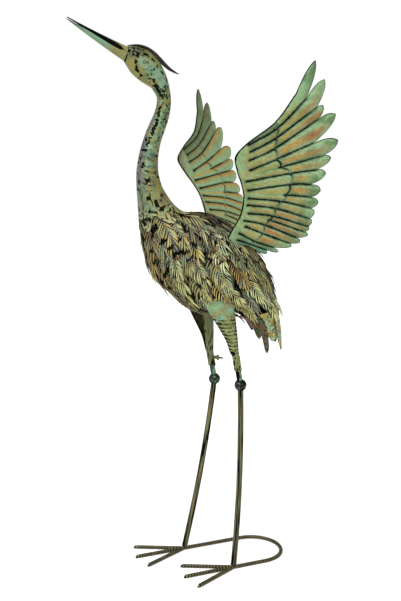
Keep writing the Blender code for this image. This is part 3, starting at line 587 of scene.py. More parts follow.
# Wings: one pressed sheet each, with a short and a long row of feathers.
# Seen from the side, x and z; the lists run from the first feather down to the root.
wing = {
    "feathers": 17, "sheet": 1.6, "rise": 3.0, "covertRise": 1.8, "level": 850.0,
    "spread": (149.0, 0.13, 0.55, 0.0019, 0.0002, -0.00024), "tilt": (0.02, 0.035),
    "edge": [(13, 870), (1, 857), (-7, 845.5), (-7, 834), (4, 812), (15, 794), (24.5, 775),
             (29, 758), (30, 736), (28, 722), (23, 706), (17.4, 688.5)],
    # from the first feather to the root: where each groove starts, and where the covert over it ends
    "arm": [(13, 870), (9, 861), (15, 849), (17.7, 834.5), (23.5, 816.5), (20, 806), (18.3, 796),
            (26.3, 779.6), (29, 772.5), (31.6, 766), (35, 753), (41.5, 737), (41, 730), (37.9, 723),
            (43, 711.8), (35, 698.5), (36, 684), (37, 674)],
    "coverts": [(50, 904), (56, 893), (57, 875), (60, 857), (68, 838), (80, 824), (100, 812.5),
                (104, 792), (103, 772), (97, 760), (93, 746), (92, 731), (88, 723), (81, 714),
                (84, 696), (72, 680.5), (66, 674.5), (60, 671)],
    "bare": (5, 8, 12), "hooked": (4, 7, 11),       # coverts without a groove of their own, and hooks
    "tips": [(89.8, 1003), (110.6, 972.6), (119.5, 930), (142, 915.3), (157.2, 870.7),
             (155, 840.5), (154.9, 812.4), (155.7, 780.4), (158.5, 756.4), (158.6, 735.6),
             (159.7, 718.3), (159.2, 706.2), (160.7, 693.8), (151.9, 678.9), (140.2, 670.1),
             (121.3, 658), (102, 655)],
    "notches": [(72, 950), (91.2, 943), (111, 927), (119.9, 908.9), (122.9, 867.3),
                (141.6, 844), (139.1, 818.8), (136.8, 792.1), (142.7, 768.5), (149.2, 747.3),
                (153.5, 726.6), (155, 711.4), (152, 700.4), (144, 688.1), (132.5, 677.9),
                (110.2, 668.1), (97.7, 663), (82, 660)],
    # orange at the root of each long feather, and again halfway out
    "glow": [0, 0.3, 0.6, 0.9, 0.9, 0.7, 0.8, 0.9, 0.4, 0.3, 0.8, 0.9, 1.0, 1.0, 0.9, 0.6, 0.2],
    "flare": [0, 0.6, 0.9, 1, 0.6, 0.5, 0, 0.3, 0, 0, 0.3, 0.5, 0.5, 0.4, 0.3, 0.2, 0],
    "mint": "#8CB07A", "green": "#5F8750", "gold": "#B09A44", "orange": "#C28A2A", "rust": "#B2601C",
    "tip": "#35583A", "pale": "#A4C896", "turquoise": "#5FA387", "brown": "#6A4A24", "innerMint": "#8CAA7C",
    "innerGold": "#B49A4C", "innerDark": "#4E5C36", "line": 1.15, "rim": 1.9, "join": 0.05}


def wingPlace(spots, lift, side):
    x, z = spots[..., 0], spots[..., 1]
    rise = z - wing["level"]
    c = wing["spread"]
    y = c[0] + c[1] * x + c[2] * rise + c[3] * x * x + c[4] * x * rise + c[5] * rise * rise
    if side > 0:
        x, z = x - wing["tilt"][0] * y, z + wing["tilt"][1] * y
    return np.stack([x, side * (y + lift), z], -1)


def brushLines(spots, strokes):
    # how far outside the nearest brush stroke each spot lies; a stroke has its half width at each point
    best = np.full(len(spots), 1e9)
    for line, widths in strokes:
        line, widths = np.asarray(line, float), np.broadcast_to(widths, len(line))
        for a, b, start, end in zip(line[:-1], line[1:], widths[:-1], widths[1:]):
            run = b - a
            share = np.clip(((spots - a) @ run) / max(run @ run, 1e-9), 0, 1)
            reach = np.linalg.norm(spots - a - share[:, None] * run, axis=1)
            best = np.minimum(best, reach - start - (end - start) * share)
    return best


def tipSide(notch, axis, tip, share):
    bend = notch + axis * 0.8 * max(0, (tip - notch) @ axis) / (axis @ axis)
    share = np.asarray(share, float)[..., None]
    return notch * (1 - share) ** 2 + 2 * bend * share * (1 - share) + tip * share ** 2


def wingDrawing():
    # the flat drawing of the wing: mesh spots, which part each belongs to, and the brush strokes
    count = wing["feathers"] + 1
    roots, coverts, notches = (np.array(wing[key], float) for key in ("arm", "coverts", "notches"))
    half = np.array([0.2, 0.4, 0.58, 0.74, 0.86, 0.95, 1])
    across = np.concatenate([-half[::-1], [0], half])
    wide = len(across)
    share = ((across + 1) / 2)[:, None]
    spots, marks, faces, grooves, ends, rims = [], [], [], [], [], []
    rng = np.random.default_rng(5)

    def groove(k, t):
        return spline([roots[k], coverts[k], notches[k]], t)

    def mark(part, feather, along, middle):
        # part 0 is the plate, 1 the coverts, 2 the long feathers
        marks.append(np.column_stack(np.broadcast_arrays(part, feather, along, middle)))

    def addRow(upper, lower, part, along):
        rows.append(upper * (1 - share) + lower * share)
        mark(part, k, along, across)

    def brushGroove(k, steps, reach, taper, weakest, strongest):
        wobble = rng.uniform(weakest, strongest, len(steps))
        grooves.append((groove(k, steps), wing["line"] * wobble * np.interp(steps, reach, taper)))

    total = 0
    for k in range(wing["feathers"]):
        tip = np.array(wing["tips"][k], float)
        roundEnd = 0.92 + (0.11 if k < 9 else 0.06) * np.sqrt(1 - across ** 2)
        rows = []
        for r in np.linspace(0, 1, 26):
            addRow(groove(k, r * roundEnd), groove(k + 1, r * roundEnd), 1, r)
        end = rows[-1]
        for r in np.linspace(0.03, 1, 22):
            t = roundEnd * (1 - r) + 2 * r
            addRow(groove(k, t), groove(k + 1, t), 2, 0.55 * r)
        upper, lower = groove(k, 2), groove(k + 1, 2)
        reach = tip - (upper + lower) / 2
        for r in (0.1, 0.2, 0.3, 0.4, 0.5, 0.6, 0.7, 0.8, 0.88, 0.95):
            addRow(tipSide(upper, reach, tip, r), tipSide(lower, reach, tip, r), 2, 0.55 + 0.45 * r)
        mark(2, k, 1, [0])
        faces += gridFaces(len(rows), wide, total)
        total += len(rows) * wide
        faces += [(total - wide + j, total - wide + 1 + j, total) for j in range(wide - 1)]
        total += 1
        spots += rows + [tip[None]]
        # the brush goes down the groove, at some coverts round their end, and on between the feathers
        if k and k not in wing["bare"]:
            brushGroove(k, np.linspace(0.07, 0.92, 14), [0.07, 0.14, 0.35, 0.8, 0.92],
                        [1.7, 1.4, 0.8, 0.8, 1.0], 0.75, 1.15)
        if k:
            fade = (0.85, 0.6) if k in wing["hooked"] else (0.7, -0.9)
            ends.append((end, wing["line"] * np.linspace(*fade, len(end))))
            brushGroove(k, np.linspace(1.0, 1.97, 14), [1.0, 1.2, 1.7, 1.97], [0.8, 1.1, 0.7, 0.5],
                        0.7, 1.2)
        upperRim = 0.6 * wing["rim"] if k == 0 else 0.5 + 0.5 * rng.uniform()
        for column, width in ((0, upperRim), (-1, 0.4 + 0.4 * rng.uniform())):
            rims.append((np.vstack([row[column] for row in rows[-10:]] + [tip]), width))
    # the arm plate between the front edge and the feathers' roots
    fine = np.append(np.concatenate([k + share[:-1, 0] for k in range(count - 1)]), count - 1)
    front = spline(wing["edge"], fine / (count - 1) * (len(wing["edge"]) - 1))
    back = np.column_stack([np.interp(fine, range(count), roots[:, axis]) for axis in (0, 1)])
    steps = (0, 0.06, 0.18, 0.36, 0.56, 0.78, 1)
    for step in steps:
        spots.append(front * (1 - step) + back * step)
        mark(0, fine, step, 0)
    faces += gridFaces(len(steps), len(fine), total)
    whole = np.linspace(0, 2, 20)
    rims.append((np.vstack([front[::-1], groove(0, whole)]), wing["rim"]))
    rims.append((groove(count - 1, whole), 0.6 * wing["rim"]))
    spots, marks = np.vstack(spots), np.vstack(marks)
    toGroove = np.minimum(brushLines(spots, grooves), brushLines(spots, ends))
    return spots, marks, faces, toGroove, brushLines(spots, rims)


def buildWing(side, word, drawing):
    tones = tonesOf(wing)
    spots, marks, faces, toGroove, toRim = drawing
    part, feather, along, across = marks.T
    plate, covert, long = (part == number for number in range(3))
    # pressed pillows between the grooves, the coverts a little higher
    pillow = np.sqrt(easing(toGroove, -1.5, 6.5)) * easing(toRim, -1.5, 5)
    tipped = np.where(long, 1 - 0.6 * easing(along, 0.6, 1.0), 1)
    rise = easing(along, 0, 0.15)
    step = wing["covertRise"] * np.where(covert, rise, 0.25 * long)
    lift = wing["rise"] * pillow * tipped * np.where(long, 1, 0.8 + 0.2 * covert * rise) + step
    points = wingPlace(spots, lift, side)

    rng = np.random.default_rng(7)
    number = np.clip(feather.astype(int), 0, wing["feathers"] - 1)
    gild = rng.uniform(0.6, 1, wing["feathers"])[number]
    glow, flare = np.array(wing["glow"])[number], np.array(wing["flare"])[number]
    low = easing(feather, 13.6, 15.2)
    first = 1 - easing(feather, 0.4, 1.6)
    middle = easing(toGroove, 0.8, 4.2)
    # dry brushing leaves streaks along each feather
    brushed = blot(np.column_stack([feather * 9.1 + along * 4.5 + 3 * part, across * 2.6, 0 * along]),
                   0.55, 3)
    fine = blot(np.column_stack([feather * 9.1 + along * 16, across * 5.0, 0 * along]), 0.6, 5)
    rough = toGroove + 0.9 * (blot(points, 3.4, 15) - 0.5)
    # the feathers' roots are painted with the plate that they spring from
    root = np.where(plate, 1, covert * (1 - easing(along, 0.0, 0.3)))
    fine = fine + (blot(points, 6, 5) - fine) * root
    stroke = middle * gild * (0.6 + 0.4 * easing(brushed, 0.35, 0.6))
    stroke = stroke * np.where(covert, hump(across - 0.15, 0.72, 4), hump(across - 0.12, 0.65, 4))
    inside = np.where(covert, easing(along, 0.0, 0.25) * (1 - 0.7 * easing(along, 0.86, 1.0)),
                      0.8 * (1 - easing(along, 0.2, 0.6)))
    warm = np.where(long, glow * easing(along, 0.0, 0.08) * (1 - easing(along, 0.2, 0.5)),
                    0.6 * easing(feather, 7, 12) * easing(along, 0.2, 0.4) * (1 - low)) * (1 - plate)
    warm = warm * middle * hump(across + 0.05, 0.5) * (1 - 0.4 * low)
    outside = flare * long * middle * hump(along - 0.5, 0.17) * hump(across - 0.2, 0.4)
    gilded = (0.1 + 0.5 * patchy(points, 13, 19, 0.4, 0.62)) * np.where(plate, easing(along, 0.1, 1.0), 1)
    outer = blend(tones["mint"], tones["green"], patchy(points, 24, 2, 0.4, 0.75))
    outer = coats(outer, tones, [
        ("gold", np.clip(stroke * inside * (1 - 0.85 * low) * (1 - plate), 0, 1)),
        ("orange", 0.95 * warm * easing(brushed, 0.25, 0.5)),
        ("rust", 0.7 * warm * long * easing(feather, 7, 10)),
        ("rust", 0.95 * outside),
        ("tip", 0.7 * long * easing(along, 0.68, 1.0) * patchy(points, 13, 9, 0.35, 0.6)),
        # pale mint along each feather's upper side: dry-brushed mint, and a painted highlight on the pillow
        ("pale", 0.75 * middle * (1 - root) * hump(across + 0.6, 0.3) * easing(brushed, 0.3, 0.55)),
        ("turquoise", 0.8 * easing(feather, 14.2, 16.0) * patchy(points, 14, 8, 0.3, 0.6)),
        ("mint", 0.8 * root * np.where(plate, 1 - 0.5 * easing(along, 0.4, 1.0), 0.5)),
        ("gold", root * gilded),
        ("tip", 0.75 * covert * first)])
    # painted shade: each feather darkens towards its grooves, and the brush streaks vary it
    shade = (0.68 + 0.3 * easing(fine, 0.25, 0.7)) * (0.42 + 0.58 * easing(rough, 0.2, 3.8))
    outer = outer * (shade * np.where(long, 0.92, 0.97))[:, None] * 1.12
    near = 0.5 * (1 - easing(rough, 0.2, 4.2)) * patchy(points, 7, 12, 0.22, 0.5) * (1 - 0.7 * root)
    near = near + 0.3 * covert * first * patchy(points, 4, 16, 0.4, 0.6)
    outerInk = np.max([1 - easing(rough, -0.5, 0.75), near, 0.9 * (1 - easing(toRim, -0.3, 0.8))], 0)
    # the inner side is paler, each feather fades from mint to gold, with thin dark lines
    fade = easing(0.6 * blot(points, 16, 6) - across, 0.0, 1.1)
    warm = 0.5 * patchy(points, 16, 14, 0.45, 0.6) * easing(feather, 1, 5)
    inner = coats(tones["innerMint"], tones, [
        ("innerGold", fade * (1 - plate)),
        ("innerDark", 0.8 * (1 - easing(feather, 0.8, 4)) * (1 - 0.4 * plate)),
        ("brown", plate * 0.8 * (1 - easing(along, 0.1, 0.8))),
        ("orange", warm * (1 - easing(across, -0.6, 0.1)))])
    # painted shade on the inner side as well, darker towards the grooves
    shade = (0.8 + 0.3 * easing(fine, 0.25, 0.7)) * (0.62 + 0.42 * easing(toGroove, 0.2, 3.5))
    innerInk = np.maximum(0.85 * (1 - easing(toGroove, -0.6, 0.35)), 0.9 * (1 - easing(toRim, -0.3, 0.7)))
    sheet = addPiece(word + "_pressed_wing", points, faces, [wingPaint, wingInnerPaint], outer, outerInk,
                     "wing_sheet", [word + "_wing"], sharp=70, facing=(0, side, 0),
                     innerPaint=inner * shade[:, None], innerInk=innerInk)
    weld = sheet.modifiers.new("join", "WELD")
    weld.merge_threshold = wing["join"] * mm
    thicken(sheet, wing["sheet"])
    print(word, "wing:", len(points), "points")


# pressed, then dry-brushed with mint and gold on the pillows, wet black runs in the grooves
wingPaint = paintedSheet("pressed wing sheet, outer side, mint and gold with black grooves", {
    "bloom": 0.12, "grain": 2.0, "stipple": 0.24, "speckFrom": 0.71, "ragged": 0.6})
# one thin coat, so this side is paler and plainer, and its black thinner
wingInnerPaint = paintedSheet("pressed wing sheet, inner side, pale green", {
    "bloom": 0.15, "grain": 2.4, "stipple": 0.16, "speckFrom": 0.74, "ragged": 0.3,
    "inkTone": "#16281C", "paintLayer": "innerPaint", "inkLayer": "innerInk"})
wingSpots = wingDrawing()
for side, word in sides:
    buildWing(side, word, wingSpots)


# Neck and head: one rolled sheet, welded up the front, with pointed tongues over the breast.
# Head rows are underside x, z, top x, z, half width; neck rows are centre x, z and radius.
neck = {
    "head": [(-172, 1020, -165.5, 1050, 9), (-159, 1002, -147, 1051, 14), (-144, 990, -126, 1045, 17),
             (-130, 982, -107, 1030, 17.5), (-119, 976, -93.4, 1009, 16.5), (-111, 966, -84.7, 986, 15)],
    "neck": [(-93.7, 958.2, 13.8), (-94.6, 940.8, 14), (-99.6, 921.7, 15), (-107.7, 902.5, 16.2),
             (-116.2, 882.1, 16.8), (-123.2, 858.4, 18), (-126.7, 839.2, 19.4), (-128.5, 820.1, 21),
             (-127.4, 800.9, 22.9), (-124, 780.5, 25.5)],
    "tongues": 6, "short": 0.5, "long": 1.5, "skirtLift": 2.4, "around": 132, "rings": 190, "seam": 0.7,
    "olive": "#7E7E46", "green": "#627C4C", "gold": "#8F853C", "mint": "#84A886", "teal": "#528670",
    "lilac": "#6E6E74", "rust": "#8C6E36", "brow": "#46421E", "spot": "#28341E", "combed": "#B8B27C",
    "spots": 620, "skirtRings": 18,
    # soft patches of paint: colour, x, z and size
    "patches": [("brow", -157, 1041, 16), ("brow", -141, 1047, 13), ("gold", -160, 1014, 14),
                ("gold", -148, 996, 12), ("gold", -122, 983, 12), ("mint", -141, 1021, 10),
                ("mint", -128, 1011, 14), ("mint", -113, 998, 14), ("mint", -99, 984, 10),
                ("teal", -126, 1004, 5), ("teal", -118, 1010, 4), ("teal", -108, 992, 4),
                ("mint", -109, 907, 9), ("mint", -131, 864, 9), ("teal", -130, 848, 11),
                ("mint", -133, 829, 9), ("rust", -104, 766, 11), ("gold", -112, 786, 12)],
    # black strokes of the brush: half width and the way it went, x and z
    "strokes": [(2.4, [(-115, 980), (-110, 973), (-105, 965), (-100, 957)]),
                (1.0, [(-102, 973), (-98, 962)]),
                (2.2, [(-105, 940), (-107.5, 932), (-108.5, 922)]), (1.0, [(-101, 946), (-104, 941)]),
                (2.7, [(-111.5, 915), (-114, 908), (-118.5, 900), (-121.4, 891)]),
                (1.3, [(-123, 886), (-125, 880)]),
                (1.2, [(-128, 880), (-129, 872)]), (1.3, [(-132.4, 870), (-132.8, 864)]),
                (2.0, [(-140.5, 858), (-136, 857)]), (1.7, [(-142, 832), (-140, 828)]),
                (1.2, [(-136.4, 817), (-134, 815)]), (1.2, [(-120.3, 815), (-117, 813)]),
                (1.6, [(-143, 767), (-137, 768.5), (-131, 766), (-122, 761)]),
                (1.5, [(-145.4, 748.5), (-138, 753), (-130.3, 754), (-120, 751), (-109.4, 744)]),
                (1.2, [(-140, 739), (-133, 741), (-122, 738)]),
                (1.3, [(-152.8, 713), (-145, 721), (-137.6, 727), (-124.2, 727.5)]),
                (2.2, [(-149, 1035), (-150, 1032)]), (1.2, [(-153.6, 1021), (-153.8, 1018)]),
                (2.3, [(-152.5, 1008), (-150.5, 1004)]), (1.8, [(-136, 1035), (-131, 1033)]),
                (1.7, [(-121.5, 1027), (-119, 1024.5)]), (1.0, [(-143.5, 996), (-140.5, 995.3)]),
                (1.3, [(-125, 1000), (-123.5, 998)]), (1.8, [(-119, 989), (-117, 986)]),
                (1.6, [(-102.5, 1005), (-100.5, 1002)]), (1.3, [(-93, 994), (-92, 990)]),
                (1.1, [(-112, 1015), (-110.8, 1013.5)]), (1.0, [(-97, 960), (-96, 956)]),
                (1.0, [(-94, 945), (-93, 941)]), (1.1, [(-92.5, 930), (-93.5, 926)])]}


def neckSections():
    rows = []
    for ax, az, bx, bz, width in neck["head"]:
        rows.append(((ax + bx) / 2, (az + bz) / 2, (bx - ax) / 2, (bz - az) / 2, width))
    centres = np.array(neck["neck"])
    runs = np.gradient(centres[:, :2], axis=0)
    for (x, z, radius), down in zip(centres, unit(runs)):
        rows.append((x, z, -down[1] * radius, down[0] * radius, radius))
    return np.array(rows)


def buildNeck():
    tones = tonesOf(neck)
    sections = neckSections()
    around, joint = neck["around"], neck["rings"]
    turns = circle(around)
    rings = []
    for x, z, ax, az, width in spline(sections, np.linspace(0, len(sections) - 1, joint)):
        grow = 1 + neck["seam"] * hump(turns - math.pi, 0.09) / math.hypot(ax, az)
        rings.append(np.stack([x + ax * np.cos(turns) * grow, -width * np.sin(turns),
                               z + az * np.cos(turns) * grow], -1))
    wave = 0.5 - 0.5 * np.cos(turns * neck["tongues"])
    ends = neck["short"] + (neck["long"] - neck["short"]) * wave ** 0.9
    for share in np.linspace(0.02, 1, neck["skirtRings"]):
        rings.append(bodySkin(ends * share, turns, neck["skirtLift"] - 0.5 * share))
    rings.append(bodySkin(ends, turns, 0.3))
    rings = np.array(rings)
    # ease the join between neck and skirt
    for _ in range(6):
        rings[joint - 8:joint + 5] = (rings[joint - 9:joint + 4] + 2 * rings[joint - 8:joint + 5]
                                      + rings[joint - 7:joint + 6]) / 4
    points, faces = ringSkin(rings, rings[0].mean(0))
    lengths = lengthsAlong(rings.mean(1))
    along, angle = np.repeat(lengths, around), np.tile(turns, len(rings))
    flat = rings.reshape(-1, 3)
    radius = np.repeat(np.linalg.norm(rings[:, 0] - rings[:, around // 2], axis=1) / 2, around)
    front = 0.5 - 0.5 * np.cos(angle)            # 1 at the welded front, 0 at the back
    low = easing(along, 190, 270)
    wobble = 0.5 * blot(flat, 5, 9)

    def reachTo(x, z, size):
        return np.hypot(flat[:, 0] - x, flat[:, 2] - z) / size + wobble

    strip = easing(front, 0.78, 0.93) * easing(along, 110, 160) * (1 - 0.6 * easing(along, 270, 310))
    paint = coats(blend(tones["olive"], tones["green"], patchy(flat, 15, 1, 0.36, 0.62)), tones, [
        ("gold", 0.75 * patchy(flat, 13, 2, 0.5, 0.68)),
        ("mint", 0.55 * patchy(flat, 8, 12, 0.54, 0.68) * (along > 60)),
        ("rust", 0.75 * low * (1 - front) * patchy(flat, 14, 4, 0.42, 0.6)),
        *((key, 0.85 * (1 - easing(reachTo(*place), 0.7, 1.45))) for key, *place in neck["patches"]),
        ("lilac", 0.8 * strip * patchy(flat, 9, 3, 0.2, 0.5))])
    # small soft spots in the sheet, wider and greyer towards the breast
    rng = np.random.default_rng(21)
    shadow = np.zeros(len(flat))
    for _ in range(neck["spots"]):
        at, turn, size = (rng.uniform(*span) for span in ((24, lengths[-1]), (0, 2 * math.pi), (1.5, 2.9)))
        away = np.abs((angle - turn + math.pi) % (2 * math.pi) - math.pi) * radius
        slant = along - at + 0.5 * away * (1 - 2 * (turn > math.pi))
        reach = np.hypot(away / (1 + 1.6 * easing(at, 180, 250)), slant) / size
        shadow = np.maximum(shadow, rng.uniform(0.5, 1.0) * (1 - easing(reach, 0.6, 1.25)))
    spotTone = blend(np.tile(tones["spot"], (len(flat), 1)), 0.5 * tones["lilac"], 0.7 * low)
    paint = blend(paint, spotTone, 0.85 * shadow)
    # bold black strokes, ragged at their edges
    drawn = brushLines(flat[:, [0, 2]], [(path, width) for width, path in neck["strokes"]])
    teeth = flat @ np.array([[0.7, 0, 0.5], [0, 1, 0], [0.3, 0, 1.4]])
    ragged = 5.5 * (blot(teeth, 3.6, 7) - 0.5) + 2.5 * (blot(flat, 1.9, 8) - 0.5)
    brow = np.max([1 - easing(reachTo(*place), 0.7, 1.5) for _, *place in neck["patches"][:2]], 0)
    # rows of small arches over the breast, and a line along each side of the weld
    arch = np.sin(2 * math.pi * (along + 8 * np.cos(2 * angle) + 6 * blot(flat, 9, 28)) / 8.5)
    arch = arch * patchy(flat, 3.6, 29, 0.4, 0.55) * easing(along, 195, 235)
    line = hump(np.abs(angle - math.pi) - 0.42, 0.05) * easing(along, 120, 150)
    # the skirt is combed like the feathers that it runs into
    skirt = easing(along, lengths[joint] + 4, lengths[-3])
    combed = blot(np.column_stack([angle * 14, along / 7, 0 * along]), 1.0, 30)
    paint = coats(paint, tones, [("combed", 0.8 * skirt * easing(combed, 0.45, 0.6))])
    ink = np.max([1 - easing(drawn + ragged - 0.5 * (along < 70), -0.6, 1.3),
                  0.68 * brow * patchy(flat, 3.5, 26, 0.3, 0.6),
                  0.85 * easing(shadow, 0.45, 0.8) * patchy(flat, 22, 27, 0.3, 0.55),
                  0.68 * easing(arch, 0.35, 1.0),
                  0.75 * line * patchy(flat, 9, 18, 0.3, 0.45),
                  0.8 * (along < 0.8),
                  0.8 * skirt * (1 - easing(combed, 0.38, 0.52))], 0)
    addPiece("neck_sheet", points, faces, [neckPaint], np.vstack([paint, tones["olive"]]),
             np.append(ink, 0), "neck_sheet", ["neck_and_head"], sharp=60)
    for side, word in sides:
        buildEye(flat, side, word, tones)
    print("neck and head:", len(points), "points")


# The eye on each side: a raised ring and a dome
eye = {"x": -137.8, "z": 1020.5, "ring": 3.0, "bead": 1.1, "dome": 1.5, "around": 28,
       "black": (0, 1, 3, 4)}


def buildEye(skin, side, word, tones):
    sideSkin = skin[skin[:, 1] * side > 4]
    nearest = sideSkin[np.argmin(np.hypot(sideSkin[:, 0] - eye["x"], sideSkin[:, 2] - eye["z"]))]
    middle = np.array([eye["x"], nearest[1], eye["z"]])
    local = sideSkin[np.linalg.norm(sideSkin - middle, axis=1) < 7] - middle
    outward = np.linalg.svd(local - local.mean(0))[2][2]
    outward = outward * np.sign(outward[1] * side)
    along = unit(np.cross(outward, (0, 1, 0.2)))
    up = np.cross(outward, along)
    middle = middle + local.mean(0) @ outward * outward
    ring, bead, dome = eye["ring"], eye["bead"], eye["dome"]
    rows = np.array([(ring + bead, -0.6), (ring + 0.8 * bead, 0.4), (ring + 0.2 * bead, 0.9),
                     (ring - 0.6 * bead, 0.5), (dome + 0.5, 0.1), (dome, 0.5), (dome * 0.5, 1.1)])
    radii, heights = rows[:, :1], rows[:, 1:]
    rings = ovals(middle + outward * heights, radii * along, radii * up, eye["around"])
    points, faces = ringSkin(rings, None, middle + outward * 1.3)
    levels = np.repeat(np.arange(len(rows)), eye["around"])
    paint = np.tile(blend(tones["mint"], tones["olive"], 0.3), (len(points), 1))
    ink = np.append(np.isin(levels, eye["black"]) * 1.0, 0.0)
    addPiece(word + "_eye", points, faces, [neckPaint], paint, ink, "neck_sheet", facing=tuple(outward))


# washed with olive and gold after the welding, then dabbed with a loaded black brush
neckPaint = paintedSheet("rolled neck sheet, olive and gold with black dabs", {
    "patch": 18.0, "bloom": 0.12, "grain": 2.0, "stipple": 0.34, "speckFrom": 0.68, "ragged": 0.7})
buildNeck()


# Beak: two folded sheets. z of ridge and mouth at the face, and the tips.
beak = {
    "upperTip": (-280, 1095.0), "lowerTip": (-281.8, 1090.6), "gape": 1038.5, "chin": 1021.5,
    "crown": 1049.5, "side": 8.6, "sag": 1.4, "lip": (1.0, 2.0), "gap": 0.3, "faceGap": 0.45,
    # how high the black stands above and below the mouth, from face to tip
    "stripe": ([0, 0.05, 0.12, 0.2, 0.4, 0.7, 1], [-0.1, 0.02, 0.4, 0.62, 0.8, 1.1, 1.2]),
    "under": ([0, 0.05, 0.12, 0.28, 0.45, 0.7, 0.9, 1], [-0.1, -0.05, 0.2, 0.24, 0.2, 0.1, 0.2, 1.1]),
    "mint": "#74A384", "gold": "#8C8648", "olive": "#6E7240", "grey": "#4F6250"}


def buildMandible(name, node, ridgeZ, tip, turned, material, slot):
    tones = tonesOf(beak)
    faceLow, faceHigh = (np.array(neck["head"][0][k:k + 2], float) for k in (0, 2))

    def face(z):
        return faceLow + (faceHigh - faceLow) * (z - faceLow[1]) / (faceHigh[1] - faceLow[1])

    def blackUpTo(h, share, key):
        edge = np.interp(share, *beak[key])
        return float(1 - easing(h, edge - 0.06, edge + 0.06))

    gapeZ = beak["gape"] + turned * beak["gap"]
    bend = [(-1, 0), (-0.97, 0.16), (-0.92, 0.34), (-0.82, 0.54), (-0.62, 0.75), (-0.34, 0.92), (0, 1)]
    profile = [tuple(p) for p in spline(bend, np.linspace(0, 6, 19))]
    profile += [(-v, h) for v, h in profile[-2::-1]]
    rings, inks, paints = [], [], []
    for share in np.concatenate([[0, 0.008, 0.016, 0.024], np.linspace(0.04, 1, 60)]):
        back = np.array([beak["faceGap"], 0])
        lip = np.array([tip[0], tip[1] - turned * beak["lip"][turned > 0]])
        mouth = (face(gapeZ) - back) * (1 - share) + lip * share
        ridge = (face(ridgeZ) - back) * (1 - share) + np.array(tip) * share
        ridge = ridge - np.array([0, beak["sag"] * 4 * share * (1 - share)])
        width = beak["side"] * (1 - share) ** 0.85 + 0.8 * share
        ring = []
        for v, h in profile:
            x, z = mouth + (ridge - mouth) * h
            ring.append((x, v * width, z))
            if turned > 0:
                layers = [("grey", easing(share, 0.06, 0.3))]
                inks.append(blackUpTo(h, share, "stripe"))
            else:
                layers = [("mint", easing(share, 0.18, 0.4)), ("grey", easing(share, 0.62, 0.95)),
                          ("olive", 0.4 * (h > 0.5))]
                inks.append(blackUpTo(h, share, "under") + 0.9 * (share < 0.012 and h > 0.3))
            paints.append(coats(tones["gold"], tones, layers) * (1 - 0.5 * share * (turned > 0)))
        rings.append(ring)
    points, faces = ringSkin(rings, np.mean(rings[0], 0), np.mean(rings[-1], 0))
    paints += [tones["grey"], tones["grey"]]
    inks += [0.8, 0.8]
    addPiece(name, points, faces, [material], np.array(paints), np.array(inks), slot, [node], sharp=45)


# folded smooth, with little grain, and the stripe painted with a clean edge
beakPaint = paintedSheet("folded beak sheet, black stripe over mint and gold", {
    "patch": 30.0, "bloom": 0.2, "grain": 2.2, "stipple": 0.14, "speckFrom": 0.75, "ragged": 0.16,
    "inkTone": "#120F0B"})
buildMandible("upper_mandible", "beak_upper", beak["crown"], beak["upperTip"], 1, beakPaint, "beak_dark")
buildMandible("lower_mandible", "beak_lower", beak["chin"], beak["lowerTip"], -1, beakPaint, "beak_light")


# Crest: a thin dark plume along the crown. Rows are x, z, half height, half width.
crest = {
    "rows": [(-166, 1051.5, 0.8, 1.5), (-146, 1053, 2, 4), (-129, 1049, 3.2, 6), (-113, 1039, 4.4, 6.5),
             (-98, 1026, 4.2, 5.5), (-84, 1014.5, 3.2, 4.2), (-72, 1008, 2.1, 2.8),
             (-61.6, 1003.9, 0.6, 0.6)],
    "rings": 56, "around": 20, "brown": "#2E1C10", "dark": "#0E0B08", "grey": "#34382E"}


def buildCrest():
    rows = spline(crest["rows"], np.linspace(0, 7, crest["rings"]))
    path, half = np.stack([rows[:, 0], 0 * rows[:, 0], rows[:, 1]], -1), rows[:, 2:]
    up = -np.cross(unit(np.gradient(path, axis=0)), (0, 1, 0))
    rings = ovals(path, up * half[:, :1], half[:, 1:] * np.array([0, 1, 0]), crest["around"])
    points, faces = ringSkin(rings, path[0], path[-1])
    tones = tonesOf(crest)
    streaks = blot(points * np.array([0.3, 1, 1]), 2.5, 3)
    paint = coats(tones["dark"], tones, [("brown", easing(streaks, 0.45, 0.7)),
                                         ("grey", 0.6 * (1 - easing(points[:, 0], -160, -120)))])
    addPiece("crest_plume", points, faces, [crestPaint], paint, 0 * streaks, "crest_dark", ["crest"])


# thin cut sheet, black rubbed back to brown, a little glossier than the head
crestPaint = paintedSheet("crest sheet, black over brown", {
    "bloom": 0.0, "grain": 1.8, "stipple": 0.3, "speckFrom": 0.7, "rough": (0.35, 0.55)})
buildCrest()
print("beak and crest ready")


# Tail: pressed blades laid under the body's end. Rows are angle from the ridge, half angle,
# layer, root section, tip section on the left and on the right, and two colours.
tail = {
    "blades": [(28, 16, 1, 8.9, 12.6, 12.6, "gold", "khaki"), (61, 17, 2, 9.1, 12.4, 12.3, "khaki", "mint"),
               (95, 16, 1, 9.2, 12.0, 12.2, "mint", "gold"), (126, 14, 0, 9.0, 12.9, 11.3, "brown", "deep"),
               (155, 12, 1, 8.8, 10.7, 10.6, "rust", "brown")],
    "centre": (0, 12, 2, 8.9, 13.2, 13.2, "khaki", "gold"), "sheet": 1.2, "layerGap": 1.0, "skinGap": 0.8,
    "mesh": (100, 17), "gold": "#BCA650", "rust": "#8A5224", "mint": "#94AE86", "brown": "#6A4620",
    "deep": "#44543C", "khaki": "#BCB06A"}


